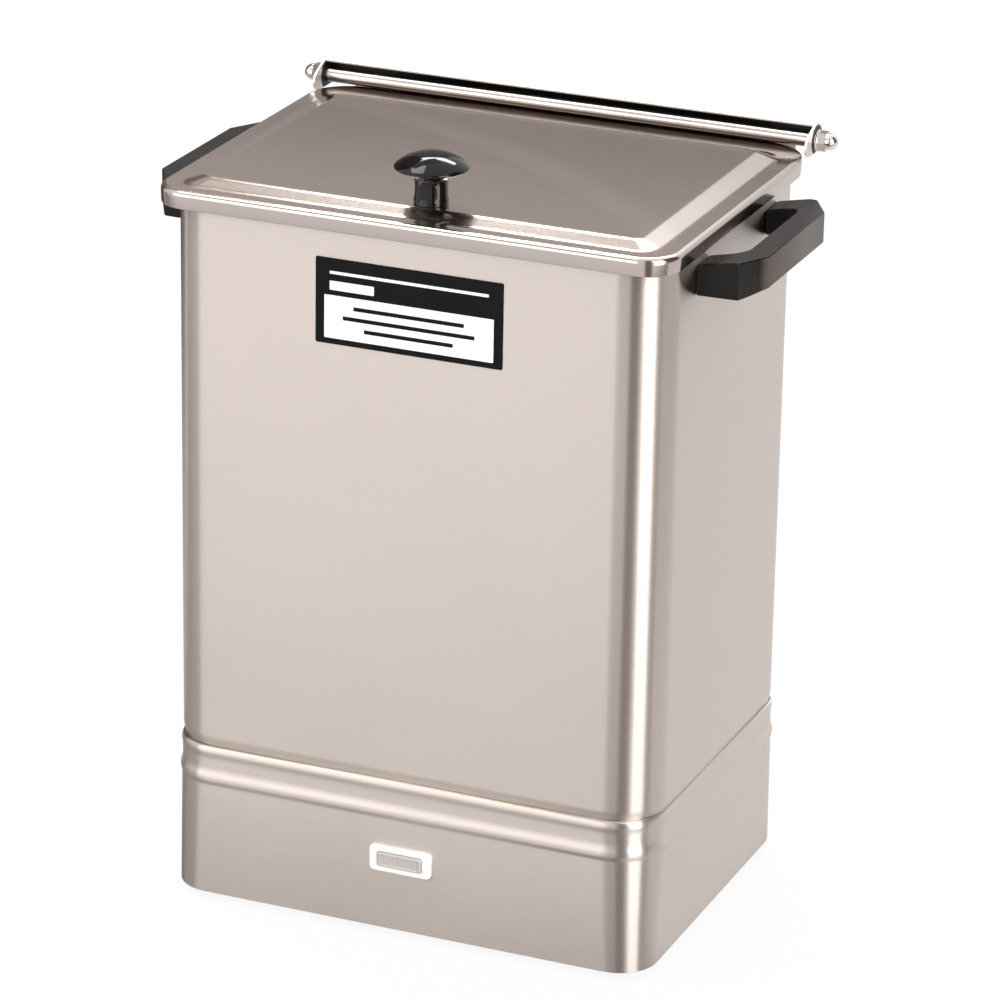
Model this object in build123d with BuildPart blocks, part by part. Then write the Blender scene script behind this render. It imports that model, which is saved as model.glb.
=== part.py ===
from build123d import *
from math import asin, cos, radians, sin
import os

# Tabletop hot pack heater: a deep stainless tank on a skirted base, with a hinged lid.
# Millimetres. The bench is z = 0, the front faces -Y and the origin is under the middle of the tank.

os.makedirs("parts", exist_ok=True)

# ---- Driving dimensions: tank, base and lid ----
foot_height = 4.0  # lower edge of the skirt above the bench
body_w = 279.8  # tank over its side walls
body_d = 207.8  # tank over its front and rear walls
body_corner_r = 27.0
sheet = 1.0  # stainless sheet of the tank, the skirt and the lid
flange_z = 404.0  # top of the lid's flat flange
lid_seat_gap = 0.5  # air under the closed lid
rim_bead_out = 2.5  # rolled rim of the tank, outwards
rim_bead_h = 5.0
seam_z = 90.5  # groove where the tank enters the skirt
taper_in = 2.2  # the wall draws in by this much above the groove
taper_h = 4.5
spigot_h = 12.0  # tank edge hidden inside the skirt
spigot_fit = 0.2
tank_floor_z = 104.0  # top face of the tank's floor
floor_t = 1.2

rim_z = flange_z - sheet - lid_seat_gap
half_w = body_w / 2
half_d = body_d / 2

# ---- Skirt ----
base_grow = 0.4  # the skirt's wall stands this far outside the tank's wall
base_grow_deep = 1.6  # the same at the front and the rear
lip_step = 1.1  # the groove lies this far inside the skirt's wall
lip_roll = 2.0  # height of the rolled edge at the groove
band_h = 13.0  # hollow band below the groove
band_in = 0.5
bulge_out = 0.9
bulge_drop = 18.5  # bulge below the groove
wall_drop = 21.0  # plain wall below the groove
turned_flange_w = 12.0  # inward flange that holds the bottom cover
cover_recess = 0.8  # cover above the skirt's lower edge
cover_t = 1.2
cover_fit = 0.5

base_half_w = half_w + base_grow
base_half_d = half_d + base_grow_deep
base_corner_r = body_corner_r
base_foot_r = 24.0  # the wall's corners tighten to this radius at its lower edge
cover_z = foot_height + cover_recess
turned_flange_z = cover_z + cover_t

# ---- Lid ----
lid_side_over = 4.8  # the lid stands this far over the tank's walls
lid_front_over = 7.6
lid_rear_over = 4.6
lid_front_corner_r = 19.0
lid_rear_corner_r = 28.0
skirt_depth = 9.8
skirt_end_in = 12.4  # the side skirts stop this far short of the rear wall
skirt_end_r = 8.0
panel_rise = 4.0
panel_side_in = 6.4  # foot of the raised panel, inside the tank's walls
panel_front_in = 1.9
panel_rear_in = 16.9
panel_foot_r = 12.0
panel_bevel_x = 11.7
panel_bevel_y = 9.0
panel_top_r = 6.0
edge_round = 2.0

lid_half_w = half_w + lid_side_over
lid_front = -half_d - lid_front_over
lid_rear = half_d + lid_rear_over
skirt_end_y = half_d - skirt_end_in
panel_foot_half_w = half_w - panel_side_in
panel_foot_front = -half_d + panel_front_in
panel_foot_rear = half_d - panel_rear_in
lid_bottom_z = flange_z - skirt_depth
panel_z = flange_z + panel_rise

# ---- Hinge ----
tube_r = 4.2  # barrel along the lid's rear edge
rod_r = 3.0
rod_fit = 0.06
hinge_out = 3.6  # rod's axis behind the rear wall
hood_r = 9.2  # outside of the curled guard over the barrel
hood_t = 1.2
hood_open_angle = 107.0  # the curl ends this far past the horizontal
ear_gap = 0.6  # barrel to ear
ear_front = (-11.0, -1.0)  # centre of the ear's rounded front, from the rod
ear_front_r = 5.5
ear_drop = 6.5  # the ear's lower edge below the rod
ear_over = 3.6  # ear's inner face outside the side wall
joggle_top_drop = 14.0  # below the rod
joggle_bottom_drop = 26.0
tail_drop = 54.0
wing_half_w = 130.0  # the plate between the ears' lower edge and the joggle
tail_corner_gap = 0.9  # the tail ends this far from the rounded corner
guard_bend_r = 4.0
rivet_head_slope = 30
hinge_washer_t = 1.0
hinge_washer_r = 6.0
cap_nut_flats = 10.0
cap_nut_hex_h = 5.0
cap_nut_h = 11.0
cap_nut_dome_in = 0.3  # the dome is this much inside the flats
cap_nut_end_gap = 0.5
rivet_r = 2.0
rivet_head_r = 3.6
rivet_head_h = 1.4
rivet_edge = 16.0  # outer rivets from the tail's ends
rivet_shares = (-1, -1 / 3, 1 / 3, 1)
rivet_drop = 46.0

hinge_y = half_d + hinge_out
hinge_z = flange_z + tube_r
ear_in_x = half_w + ear_over
ear_out_x = ear_in_x + hood_t
tail_half_w = half_w - body_corner_r - tail_corner_gap
rivet_xs = [share * (tail_half_w - rivet_edge) for share in rivet_shares]

# ---- Knob on the lid ----
knob_x = 3.5
knob_in = 28.0  # behind the lid's front edge
knob_y = lid_front + knob_in
knob_stem_r = 8.9
knob_collar_r = 9.3
knob_collar_h = 3.0
knob_cap_r = 19.8
knob_rim_h = 19.4
knob_h = 27.2
knob_screw_r = 2.5
knob_screw_deep = 14.0
knob_waist = 0.3  # the stem narrows by this much above its collar
knob_rim_half = 0.8  # half the thickness of the cap's edge
knob_shoulder_share = 0.55  # height of the waist's upper end, as a share of the rim's
knob_flare_out = 1.6  # a point of the flare under the cap, from the stem and down from the rim
knob_flare_drop = 4.2
knob_washer_in = 2.0  # washer's edge inside the knob's collar
screw_end_gap = 1.0  # air past the end of a screw in a blind hole

# ---- Side handles ----
handle_mid_y = 2.0
handle_reach = 32.7  # grip's outer face from the wall
handle_vertex_reach = 22.5  # where the leg turns into the chamfered corner
handle_half_len = 60.5
handle_corner_in = 19.0  # the chamfer takes this much off the outer face at each end
handle_leg_w = 19.0
handle_grip_w = 13.0
handle_drop = 13.5  # handle's top below the lid's flange
handle_leg_h = 20.5
handle_grip_rise = 3.0  # the grip's underside is this much higher than the legs'
handle_top_fall = 4.0  # the legs' top falls this much towards the wall
handle_inner_r = 8.0
handle_draft = 1.0  # the legs narrow by this much on each side up to the chamfer
handle_fall_start = 4.0  # the top starts to fall this far inside the chamfer's corner
handle_heel = 3.0  # flat of a leg's underside
handle_screw_r = 2.5
handle_screw_deep = 16.0
handle_washer_r = 6.5
handle_washer_t = 1.2
screw_head_r = 4.6
screw_head_h = 3.0

handle_out_x = half_w + handle_reach
handle_vertex_x = half_w + handle_vertex_reach
handle_grip_half = handle_half_len - handle_corner_in
handle_top_z = flange_z - handle_drop
handle_leg_bottom_z = handle_top_z - handle_leg_h

# ---- Plate on the front and pilot lamp ----
plate_w = 105.0
plate_h = 46.6
plate_t = 0.5
plate_drop = 49.6  # plate's middle below the lid's flange
plate_z = flange_z - plate_drop
plate_x = 0.5
plate_corner_r = 1.0
lamp_z = 45.4
bezel_w = 36.0
bezel_h = 15.2
bezel_proud = 2.6
bezel_corner_r = 3.0
bezel_edge_r = 0.7
lens_w = 26.0
lens_h = 8.6
lens_proud = 3.6
lens_corner_r = 1.6
lens_edge_r = 0.8
lamp_body_w = 29.0
lamp_body_h = 11.4
lamp_body_deep = 24.0
lamp_fit = 0.15
lamp_tab = (6.3, 0.8, 9.0)

# ---- Heating element ----
element_r = 4.0
element_z = 122.0
element_in = 44.9  # bends and collars inside the side walls
element_x = half_w - element_in
element_half_gap = 24.0
element_bend_r = 14.0
element_end_z = 84.0
element_collar_r = 10.0
element_collar_h = 4.0
gasket_t = 2.0
gasket_r = 9.6
thread_r = 6.0
thread_bottom_z = 90.0
element_nut_flats = 19.0
element_nut_h = 6.0
terminal_r = 1.6
terminal_len = 10.0
terminal_bead_h = 2.0  # insulating bead at the element's end
hole_fit = 0.1

# ---- Thermostat ----
stat_x = 50.0
stat_y = -30.0
stat_body_w = 46.0
stat_body_d = 34.0
stat_body_h = 26.0
stat_plate_z = 36.0
stat_plate_t = 1.5
stat_bush_r = 5.0
stat_bush_bottom_z = 27.0
stat_nut_flats = 14.0
stat_nut_h = 3.5
stat_shaft_r = 3.0
stat_shaft_bottom_z = 5.0
stat_knob_r = 15.0
stat_knob_bottom_z = 2.0
stat_knob_h = 13.0
stat_knob_flutes = 12
stat_flute_r = 1.6
stat_knob_gap = 2.5
stat_slot = (1.6, 11.0, 1.0)  # pointer groove: width, length, depth
stat_body_corner_r = 2.0
stat_capillary_in = 14.0  # capillary's entry, left of the shaft
bracket_w = 40.0
bracket_d = 44.0

# ---- Thermostat's sensing bulb in the tank ----
bulb_r = 4.0
bulb_half_len = 45.0
bulb_end_r = 3.2
bulb_y = 60.0
bulb_z = 114.0
capillary_r = 1.0
capillary_gland_bend_r = 4.0
capillary_bend_r = 8.0
gland_x = -70.0
bulb_gland_r = 6.0
bulb_gland_hex_h = 5.0
bulb_gland_flats = 14.0
bulb_nut_flats = 16.0
bulb_thread_past = 2.0
capillary_low_z = 78.0
capillary_turn = (-30.0, 14.0)
clip_xs = (-25.0, 25.0)
clip_w = 8.0
clip_t = 0.8
clip_foot = 8.0
clip_bend_r = 1.6

# ---- Supply side, in the base ----
block_w = 46.0
block_d = 20.0
block_h = 16.0
block_x = -20.0
block_y = 72.0
block_hole_r = 2.0
block_hole_h = 6.0
block_screw_r = 1.8
block_screw_h = 4.0
block_pitch = 14.0
earth_x = 30.0
earth_y = 76.0
earth_r = 2.0
earth_len = 14.0
earth_nut_flats = 7.0
earth_nut_h = 3.2
earth_washer_r = 4.2
earth_washer_t = 2.0
cord_gland_x = -80.0
cord_gland_z = 46.0
cord_gland_bore_r = 4.0
cord_gland_thread_r = 8.0
cord_gland_flats = 22.0
cord_gland_hex_h = 5.4
cord_gland_proud = 9.0
cord_gland_ring_r = 9.0
cord_gland_nut_h = 5.0
cord_gland_inside = 10.0
lead_r = 1.2
lead_bend_r = 8.0
lead_into_block = 2.0
feed_drop = 22.0  # the leads' straight runs and turns
feed_turn = (-35.0, -44.0)
feed_entry_run = 26.0
feed_entry_rise = 10.0  # above the thermostat body's underside
return_drop = 14.0
return_turn = (-65.0, 42.0)
lamp_run = 30.0
lamp_turn = (-19.25, 20.0, 49.4)
earth_drop = 18.0
earth_turn = (10.0, 62.0)
block_approach_drops = (20.0, 22.0, 16.0)  # return, lamp and earth leads under the block

# ---- Feet and cover screws ----
foot_side_in = 19.9  # from the tank's walls
foot_end_in = 18.9
foot_x = half_w - foot_side_in
foot_y = half_d - foot_end_in
foot_r = 9.0
foot_bottom_r = 8.0
foot_top_z = cover_z
foot_screw_r = 2.0
foot_screw_head_r = 3.6
foot_screw_head_h = 1.8
foot_recess_r = 4.6
foot_recess_h = 2.4
foot_nut_flats = 7.0
foot_nut_h = 3.2
screw_past_nut = 1.0
cover_screw_r = 1.75
cover_screw_head_r = 3.2
cover_screw_head_h = 0.7
cover_screw_inset = 7.0

# ---- Wire rack for the packs ----
wire_r = 1.5
rack_side_gap = 13.9  # ring's wire to the tank's inner faces
rack_end_gap = 10.9
rack_corner_r = 16.0
rack_above_floor = 30.0  # middle of the ring's wire
divider_in = 9.0  # hoops' legs inside the ring
divider_top_drop = 84.5  # below the tank's rim
divider_corner_r = 20.0
divider_pitch = 46.0
cross_wires = 7
weld_sink = 0.75  # crossing wires are pressed into each other where they are welded
rack_leg_in = 21.0

PARTS = []


def finish(name, shape):
    """Label one finished piece and write it."""
    shape.label = name
    export_step(shape, f"parts/{name}.step")
    PARTS.append(name)


def ring_path(half_x, half_y, radius, z=0.0):
    """Closed rounded rectangle that starts half-way along the right side."""
    inner_x, inner_y = half_x - radius, half_y - radius
    with BuildLine(Plane.XY.offset(z)) as ring:
        Line((half_x, 0), (half_x, inner_y))
        CenterArc((inner_x, inner_y), radius, 0, 90)
        Line((inner_x, half_y), (-inner_x, half_y))
        CenterArc((-inner_x, inner_y), radius, 90, 90)
        Line((-half_x, inner_y), (-half_x, -inner_y))
        CenterArc((-inner_x, -inner_y), radius, 180, 90)
        Line((-inner_x, -half_y), (inner_x, -half_y))
        CenterArc((inner_x, -inner_y), radius, 270, 90)
        Line((half_x, -inner_y), (half_x, 0))
    return ring.wire()


def hexagon(flats):
    """Hexagon across its flats, in the sketch that is open."""
    RegularPolygon(flats / 2, 6, major_radius=False)


# ================= Tank =================
handle_screw_y = handle_half_len - handle_leg_w / 2
handle_screw_z = (handle_leg_bottom_z + handle_top_z - handle_top_fall) / 2
handle_screw_spots = [
    (side, handle_mid_y + end * handle_screw_y) for side in (-1, 1) for end in (-1, 1)
]
element_spots = [(-element_x, end * element_half_gap) for end in (-1, 1)]
rivet_z = hinge_z - rivet_drop

with BuildPart() as tank_shell:
    with BuildSketch(Plane.XZ):
        with BuildLine():
            Polyline(
                (half_w, seam_z + taper_h),
                (half_w - taper_in, seam_z),
                (half_w - taper_in, seam_z - spigot_h),
                (half_w - taper_in - sheet, seam_z - spigot_h),
                (half_w - taper_in - sheet, seam_z),
                (half_w - sheet, seam_z + taper_h),
                (half_w - sheet, rim_z - edge_round / 2),
                (half_w - sheet + edge_round / 2, rim_z),
                (half_w + rim_bead_out - edge_round / 2, rim_z),
                (half_w + rim_bead_out, rim_z - edge_round / 2),
                (half_w + rim_bead_out, rim_z - rim_bead_h + edge_round / 2),
                (half_w + rim_bead_out - edge_round / 2, rim_z - rim_bead_h),
                (half_w, rim_z - rim_bead_h),
                close=True,
            )
        make_face()
    sweep(path=ring_path(half_w, half_d, body_corner_r))
    with BuildSketch(Plane.XY.offset(tank_floor_z)):
        RectangleRounded(body_w - 2 * sheet, body_d - 2 * sheet, body_corner_r - sheet)
    extrude(amount=-floor_t)
    # through holes: element, bulb gland, handle screws and the hinge guard's rivets
    with BuildSketch(Plane.XY.offset(tank_floor_z)):
        with Locations(*element_spots):
            Circle(thread_r + hole_fit)
        with Locations((gland_x, bulb_y)):
            Circle(bulb_gland_r + hole_fit)
    extrude(amount=-floor_t, mode=Mode.SUBTRACT)
    with BuildSketch(Plane.YZ):
        with Locations(*[(y, handle_screw_z) for side, y in handle_screw_spots[:2]]):
            Circle(handle_screw_r + hole_fit)
    extrude(amount=half_w + sheet, both=True, mode=Mode.SUBTRACT)
    with BuildSketch(Plane.XZ.offset(-half_d - sheet)):
        with Locations(*[(x, rivet_z) for x in rivet_xs]):
            Circle(rivet_r)
    extrude(amount=3 * sheet, mode=Mode.SUBTRACT)
finish("tank_shell", tank_shell.part)

# ================= Skirt of the base =================
lip_out_x = base_half_w - lip_step
lip_in_x = half_w - taper_in + spigot_fit
roll_in_share = 1 - sin(radians(60))  # a point of the rolled edge, as shares of its step and height
roll_drop_share = 1 - cos(radians(60))
base_bottom_z = foot_height

with BuildPart() as base_skirt:
    with BuildSketch(Plane.XZ):
        with BuildLine():
            lip = Line((lip_in_x, seam_z), (lip_out_x, seam_z))
            roll = ThreePointArc(
                lip @ 1,
                (base_half_w - lip_step * roll_in_share, seam_z - lip_roll * roll_drop_share),
                (base_half_w, seam_z - lip_roll),
            )
            band = ThreePointArc(
                roll @ 1,
                (base_half_w - band_in, seam_z - (band_h + lip_roll) / 2),
                (base_half_w, seam_z - band_h),
            )
            bulge = ThreePointArc(
                band @ 1,
                (base_half_w + bulge_out, seam_z - bulge_drop),
                (base_half_w, seam_z - wall_drop),
            )
            Polyline(
                bulge @ 1,
                (base_half_w - sheet, seam_z - wall_drop),
                (base_half_w - sheet, seam_z - bulge_drop),
                (base_half_w - sheet - band_in, seam_z - band_h),
                (base_half_w - sheet - band_in, seam_z - lip_roll),
                (lip_in_x, seam_z - lip_roll),
                lip @ 0,
            )
        make_face()
    sweep(path=ring_path(base_half_w, base_half_d, base_corner_r))
    # wall below the bulge, with the flange that its lower edge is turned into
    for inset, mode in ((0, Mode.ADD), (sheet, Mode.SUBTRACT)):
        for z, radius in ((seam_z - wall_drop, base_corner_r), (base_bottom_z, base_foot_r)):
            with BuildSketch(Plane.XY.offset(z)):
                RectangleRounded(2 * (base_half_w - inset), 2 * (base_half_d - inset), radius - inset)
        loft(ruled=True, mode=mode)
    with BuildSketch(Plane.XY.offset(turned_flange_z)):
        RectangleRounded(2 * base_half_w - sheet, 2 * base_half_d - sheet, base_foot_r - sheet / 2)
        RectangleRounded(
            2 * (base_half_w - turned_flange_w),
            2 * (base_half_d - turned_flange_w),
            base_corner_r - turned_flange_w,
            mode=Mode.SUBTRACT,
        )
    extrude(amount=sheet)
    # window of the pilot lamp in the front, hole of the cord gland in the rear
    with BuildSketch(Plane.XZ.offset(base_half_d + sheet)):
        with Locations((0, lamp_z)):
            Rectangle(lamp_body_w + 2 * lamp_fit, lamp_body_h + 2 * lamp_fit)
    extrude(amount=-3 * sheet, mode=Mode.SUBTRACT)
    with BuildSketch(Plane.XZ.offset(-base_half_d - sheet)):
        with Locations((cord_gland_x, cord_gland_z)):
            Circle(cord_gland_thread_r + hole_fit)
    extrude(amount=3 * sheet, mode=Mode.SUBTRACT)
finish("base_skirt", base_skirt.part)

# ================= Bottom cover, its screws and the feet =================
cover_half_w = base_half_w - sheet - cover_fit
cover_half_d = base_half_d - sheet - cover_fit
foot_spots = [(sx * foot_x, sy * foot_y) for sx in (-1, 1) for sy in (-1, 1)]
cover_screw_spots = [
    (sx * (base_half_w - cover_screw_inset), sy * foot_y / 2) for sx in (-1, 1) for sy in (-1, 1)
] + [(0, sy * (base_half_d - cover_screw_inset)) for sy in (-1, 1)]

with BuildPart() as bottom_cover:
    with BuildSketch(Plane.XY.offset(cover_z)):
        RectangleRounded(2 * cover_half_w, 2 * cover_half_d, base_corner_r - sheet - cover_fit)
        with Locations((stat_x, stat_y)):
            Circle(stat_knob_r + stat_knob_gap, mode=Mode.SUBTRACT)
        with Locations(*foot_spots):
            Circle(foot_screw_r + hole_fit, mode=Mode.SUBTRACT)
        with Locations(*cover_screw_spots):
            Circle(cover_screw_r + hole_fit, mode=Mode.SUBTRACT)
    extrude(amount=cover_t)
finish("bottom_cover", bottom_cover.part)

for number, (x, y) in enumerate(foot_spots):
    side = "left" if x < 0 else "right"
    end = "front" if y < 0 else "rear"
    with BuildPart() as foot:
        with BuildSketch(Plane.XY):
            with Locations((x, y)):
                Circle(foot_bottom_r)
        with BuildSketch(Plane.XY.offset(foot_top_z)):
            with Locations((x, y)):
                Circle(foot_r)
        loft()
        with BuildSketch(Plane.XY):
            with Locations((x, y)):
                Circle(foot_recess_r)
        extrude(amount=foot_recess_h, mode=Mode.SUBTRACT)
        with BuildSketch(Plane.XY):
            with Locations((x, y)):
                Circle(foot_screw_r + hole_fit)
        extrude(amount=foot_top_z, mode=Mode.SUBTRACT)
    finish(f"foot_{end}_{side}", foot.part)

foot_nut_top_z = cover_z + cover_t + foot_nut_h
with BuildPart() as foot_screws:
    with BuildSketch(Plane.XY.offset(foot_recess_h)):
        with Locations(*foot_spots):
            Circle(foot_screw_head_r)
    extrude(amount=-foot_screw_head_h)
    with BuildSketch(Plane.XY.offset(foot_recess_h)):
        with Locations(*foot_spots):
            Circle(foot_screw_r)
    extrude(amount=foot_nut_top_z + screw_past_nut - foot_recess_h)
finish("foot_screws", foot_screws.part)

with BuildPart() as foot_nuts:
    with BuildSketch(Plane.XY.offset(cover_z + cover_t)):
        with Locations(*foot_spots):
            hexagon(foot_nut_flats)
            Circle(foot_screw_r + rod_fit, mode=Mode.SUBTRACT)
    extrude(amount=foot_nut_h)
finish("foot_nuts", foot_nuts.part)

with BuildPart() as cover_screws:
    with BuildSketch(Plane.XY.offset(cover_z)):
        with Locations(*cover_screw_spots):
            Circle(cover_screw_head_r)
    extrude(amount=-cover_screw_head_h)
    with BuildSketch(Plane.XY.offset(cover_z)):
        with Locations(*cover_screw_spots):
            Circle(cover_screw_r)
    extrude(amount=cover_t)
finish("cover_screws", cover_screws.part)


# ================= Lid =================
def lid_form(inset, bottom_z):
    """Flange, skirt and raised panel as one solid, drawn in by the sheet's thickness."""
    width = 2 * (lid_half_w - inset)
    foot_y = (panel_foot_front + panel_foot_rear) / 2
    foot_w = 2 * (panel_foot_half_w - inset)
    foot_d = panel_foot_rear - panel_foot_front - 2 * inset
    with BuildPart() as form:
        with BuildSketch(Plane.XY.offset(bottom_z)) as plan:
            with Locations((0, (lid_rear + lid_front) / 2)):
                Rectangle(width, lid_rear - lid_front - 2 * inset)
            fillet(plan.vertices().group_by(Axis.Y)[0], lid_front_corner_r - inset)
            fillet(plan.vertices().group_by(Axis.Y)[-1], lid_rear_corner_r - inset)
        extrude(amount=flange_z - inset - bottom_z)
        if inset == 0:
            fillet(form.edges().group_by(Axis.Z)[-1], edge_round)
        with BuildSketch(Plane.XY.offset(flange_z - inset)):
            with Locations((0, foot_y)):
                RectangleRounded(foot_w, foot_d, panel_foot_r - inset)
        with BuildSketch(Plane.XY.offset(panel_z - inset)):
            with Locations((0, foot_y)):
                RectangleRounded(
                    foot_w - 2 * panel_bevel_x, foot_d - 2 * panel_bevel_y, panel_top_r - inset / 2
                )
        loft(ruled=True)
    return form.part


lid_skin = lid_form(0, lid_bottom_z)
lid_hollow = lid_form(sheet, lid_bottom_z - sheet)
flange_under_z = flange_z - sheet

with BuildPart() as lid:
    add(lid_skin)
    add(lid_hollow, mode=Mode.SUBTRACT)
    # the skirt ends in a rounded corner on each side and is open along the hinge
    with BuildSketch(Plane.YZ):
        with BuildLine():
            Polyline(
                (skirt_end_y, lid_bottom_z + skirt_end_r),
                (skirt_end_y, flange_under_z),
                (lid_rear + sheet, flange_under_z),
                (lid_rear + sheet, lid_bottom_z - sheet),
                (skirt_end_y - skirt_end_r, lid_bottom_z - sheet),
                (skirt_end_y - skirt_end_r, lid_bottom_z),
            )
            ThreePointArc(
                (skirt_end_y - skirt_end_r, lid_bottom_z),
                (
                    skirt_end_y - skirt_end_r * (1 - sin(radians(45))),
                    lid_bottom_z + skirt_end_r * (1 - cos(radians(45))),
                ),
                (skirt_end_y, lid_bottom_z + skirt_end_r),
            )
        make_face()
    extrude(amount=lid_half_w + sheet, both=True, mode=Mode.SUBTRACT)
    with BuildSketch(Plane.XY.offset(panel_z)):
        with Locations((knob_x, knob_y)):
            Circle(knob_screw_r + hole_fit)
    extrude(amount=-2 * sheet, mode=Mode.SUBTRACT)
finish("lid", lid.part)

knob_waist_r = knob_stem_r - knob_waist
knob_shoulder_h = knob_rim_h * knob_shoulder_share
knob_edge_r = knob_cap_r - knob_rim_half
dome_rise = knob_h - knob_rim_h - knob_rim_half
dome_r = (knob_edge_r**2 + dome_rise**2) / (2 * dome_rise)
dome_angle = asin(knob_edge_r / dome_r)
with BuildPart() as knob_form:
    with BuildSketch(Plane.XZ):
        with BuildLine():
            Polyline(
                (0, knob_h),
                (0, 0),
                (knob_collar_r, 0),
                (knob_collar_r, knob_collar_h - knob_waist),
                (knob_stem_r, knob_collar_h),
                (knob_waist_r, knob_shoulder_h),
            )
            ThreePointArc(
                (knob_waist_r, knob_shoulder_h),
                (knob_stem_r + knob_flare_out, knob_rim_h - knob_flare_drop),
                (knob_edge_r, knob_rim_h - knob_rim_half),
            )
            ThreePointArc(
                (knob_edge_r, knob_rim_h - knob_rim_half),
                (knob_cap_r, knob_rim_h),
                (knob_edge_r, knob_rim_h + knob_rim_half),
            )
            ThreePointArc(
                (knob_edge_r, knob_rim_h + knob_rim_half),
                (dome_r * sin(dome_angle / 2), knob_h - dome_r * (1 - cos(dome_angle / 2))),
                (0, knob_h),
            )
        make_face()
    revolve(axis=Axis.Z)
with BuildPart() as lid_knob:
    with Locations((knob_x, knob_y, panel_z)):
        add(knob_form.part)
    with BuildSketch(Plane.XY.offset(panel_z)):
        with Locations((knob_x, knob_y)):
            Circle(knob_screw_r + rod_fit)
    extrude(amount=knob_screw_deep, mode=Mode.SUBTRACT)
finish("lid_knob", lid_knob.part)

with BuildPart() as knob_washer:
    with BuildSketch(Plane.XY.offset(panel_z - sheet)):
        with Locations((knob_x, knob_y)):
            Circle(knob_collar_r - knob_washer_in)
            Circle(knob_screw_r + hole_fit, mode=Mode.SUBTRACT)
    extrude(amount=-handle_washer_t)
finish("knob_washer", knob_washer.part)

knob_head_z = panel_z - sheet - handle_washer_t
with BuildPart() as knob_screw:
    with BuildSketch(Plane.XY.offset(knob_head_z)):
        with Locations((knob_x, knob_y)):
            Circle(screw_head_r)
    extrude(amount=-screw_head_h)
    with BuildSketch(Plane.XY.offset(knob_head_z)):
        with Locations((knob_x, knob_y)):
            Circle(knob_screw_r)
    extrude(amount=panel_z + knob_screw_deep - screw_end_gap - knob_head_z)
finish("knob_screw", knob_screw.part)

# ================= Hinge =================
with BuildPart() as hinge_tube:
    with BuildSketch(Plane.YZ):
        with Locations((hinge_y, hinge_z)):
            Circle(tube_r)
            Circle(rod_r + rod_fit, mode=Mode.SUBTRACT)
    extrude(amount=ear_in_x - ear_gap, both=True)
finish("hinge_tube", hinge_tube.part)

washer_x = ear_out_x + hinge_washer_t
nut_tip_x = washer_x + cap_nut_h
with BuildPart() as hinge_rod:
    with BuildSketch(Plane.YZ):
        with Locations((hinge_y, hinge_z)):
            Circle(rod_r)
    extrude(amount=washer_x + cap_nut_hex_h, both=True)
finish("hinge_rod", hinge_rod.part)

hood_mid_r = hood_r - hood_t / 2
plate_y_hood = hinge_y + hood_mid_r
tail_y = half_d + hood_t / 2
with BuildPart() as hinge_guard:
    # curl over the barrel, plate behind it and tail riveted to the tank, bent from one sheet
    with BuildSketch(Plane.YZ):
        with BuildLine():
            curl = CenterArc((hinge_y, hinge_z), hood_mid_r, hood_open_angle, -hood_open_angle)
            FilletPolyline(
                curl @ 1,
                (plate_y_hood, hinge_z - joggle_top_drop),
                (tail_y, hinge_z - joggle_bottom_drop),
                (tail_y, hinge_z - tail_drop),
                radius=guard_bend_r,
            )
        trace(line_width=hood_t)
    extrude(amount=ear_out_x, both=True)
    # the tail is narrower than the curl, because the tank's corners are round
    with BuildSketch(Plane.XZ.offset(-half_d)):
        for edge, drop in ((wing_half_w, ear_drop), (tail_half_w, joggle_top_drop)):
            for side in (-1, 1):
                with Locations((side * (edge + body_corner_r), hinge_z - drop - tail_drop)):
                    Rectangle(2 * body_corner_r, 2 * tail_drop)
    extrude(amount=-3 * hood_r, mode=Mode.SUBTRACT)
    for side in (-1, 1):
        with BuildSketch(Plane.YZ.offset(side * ear_in_x)):
            with Locations((hinge_y, hinge_z)):
                Circle(hood_r)
            with Locations((hinge_y + ear_front[0], hinge_z + ear_front[1])):
                Circle(ear_front_r)
            make_hull()
            with Locations((hinge_y, hinge_z - ear_drop - hood_r)):
                Rectangle(4 * hood_r, 2 * hood_r, mode=Mode.SUBTRACT)
        extrude(amount=side * hood_t)
    with BuildSketch(Plane.YZ):
        with Locations((hinge_y, hinge_z)):
            Circle(rod_r + rod_fit)
    extrude(amount=ear_out_x + sheet, both=True, mode=Mode.SUBTRACT)
    with BuildSketch(Plane.XZ.offset(-half_d + sheet)):
        with Locations(*[(x, rivet_z) for x in rivet_xs]):
            Circle(rivet_r)
    extrude(amount=-4 * sheet, mode=Mode.SUBTRACT)
finish("hinge_guard", hinge_guard.part)

with BuildPart() as hinge_washers:
    for side in (-1, 1):
        with BuildSketch(Plane.YZ.offset(side * ear_out_x)):
            with Locations((hinge_y, hinge_z)):
                Circle(hinge_washer_r)
                Circle(rod_r + rod_fit, mode=Mode.SUBTRACT)
        extrude(amount=side * hinge_washer_t)
finish("hinge_washers", hinge_washers.part)

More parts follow.
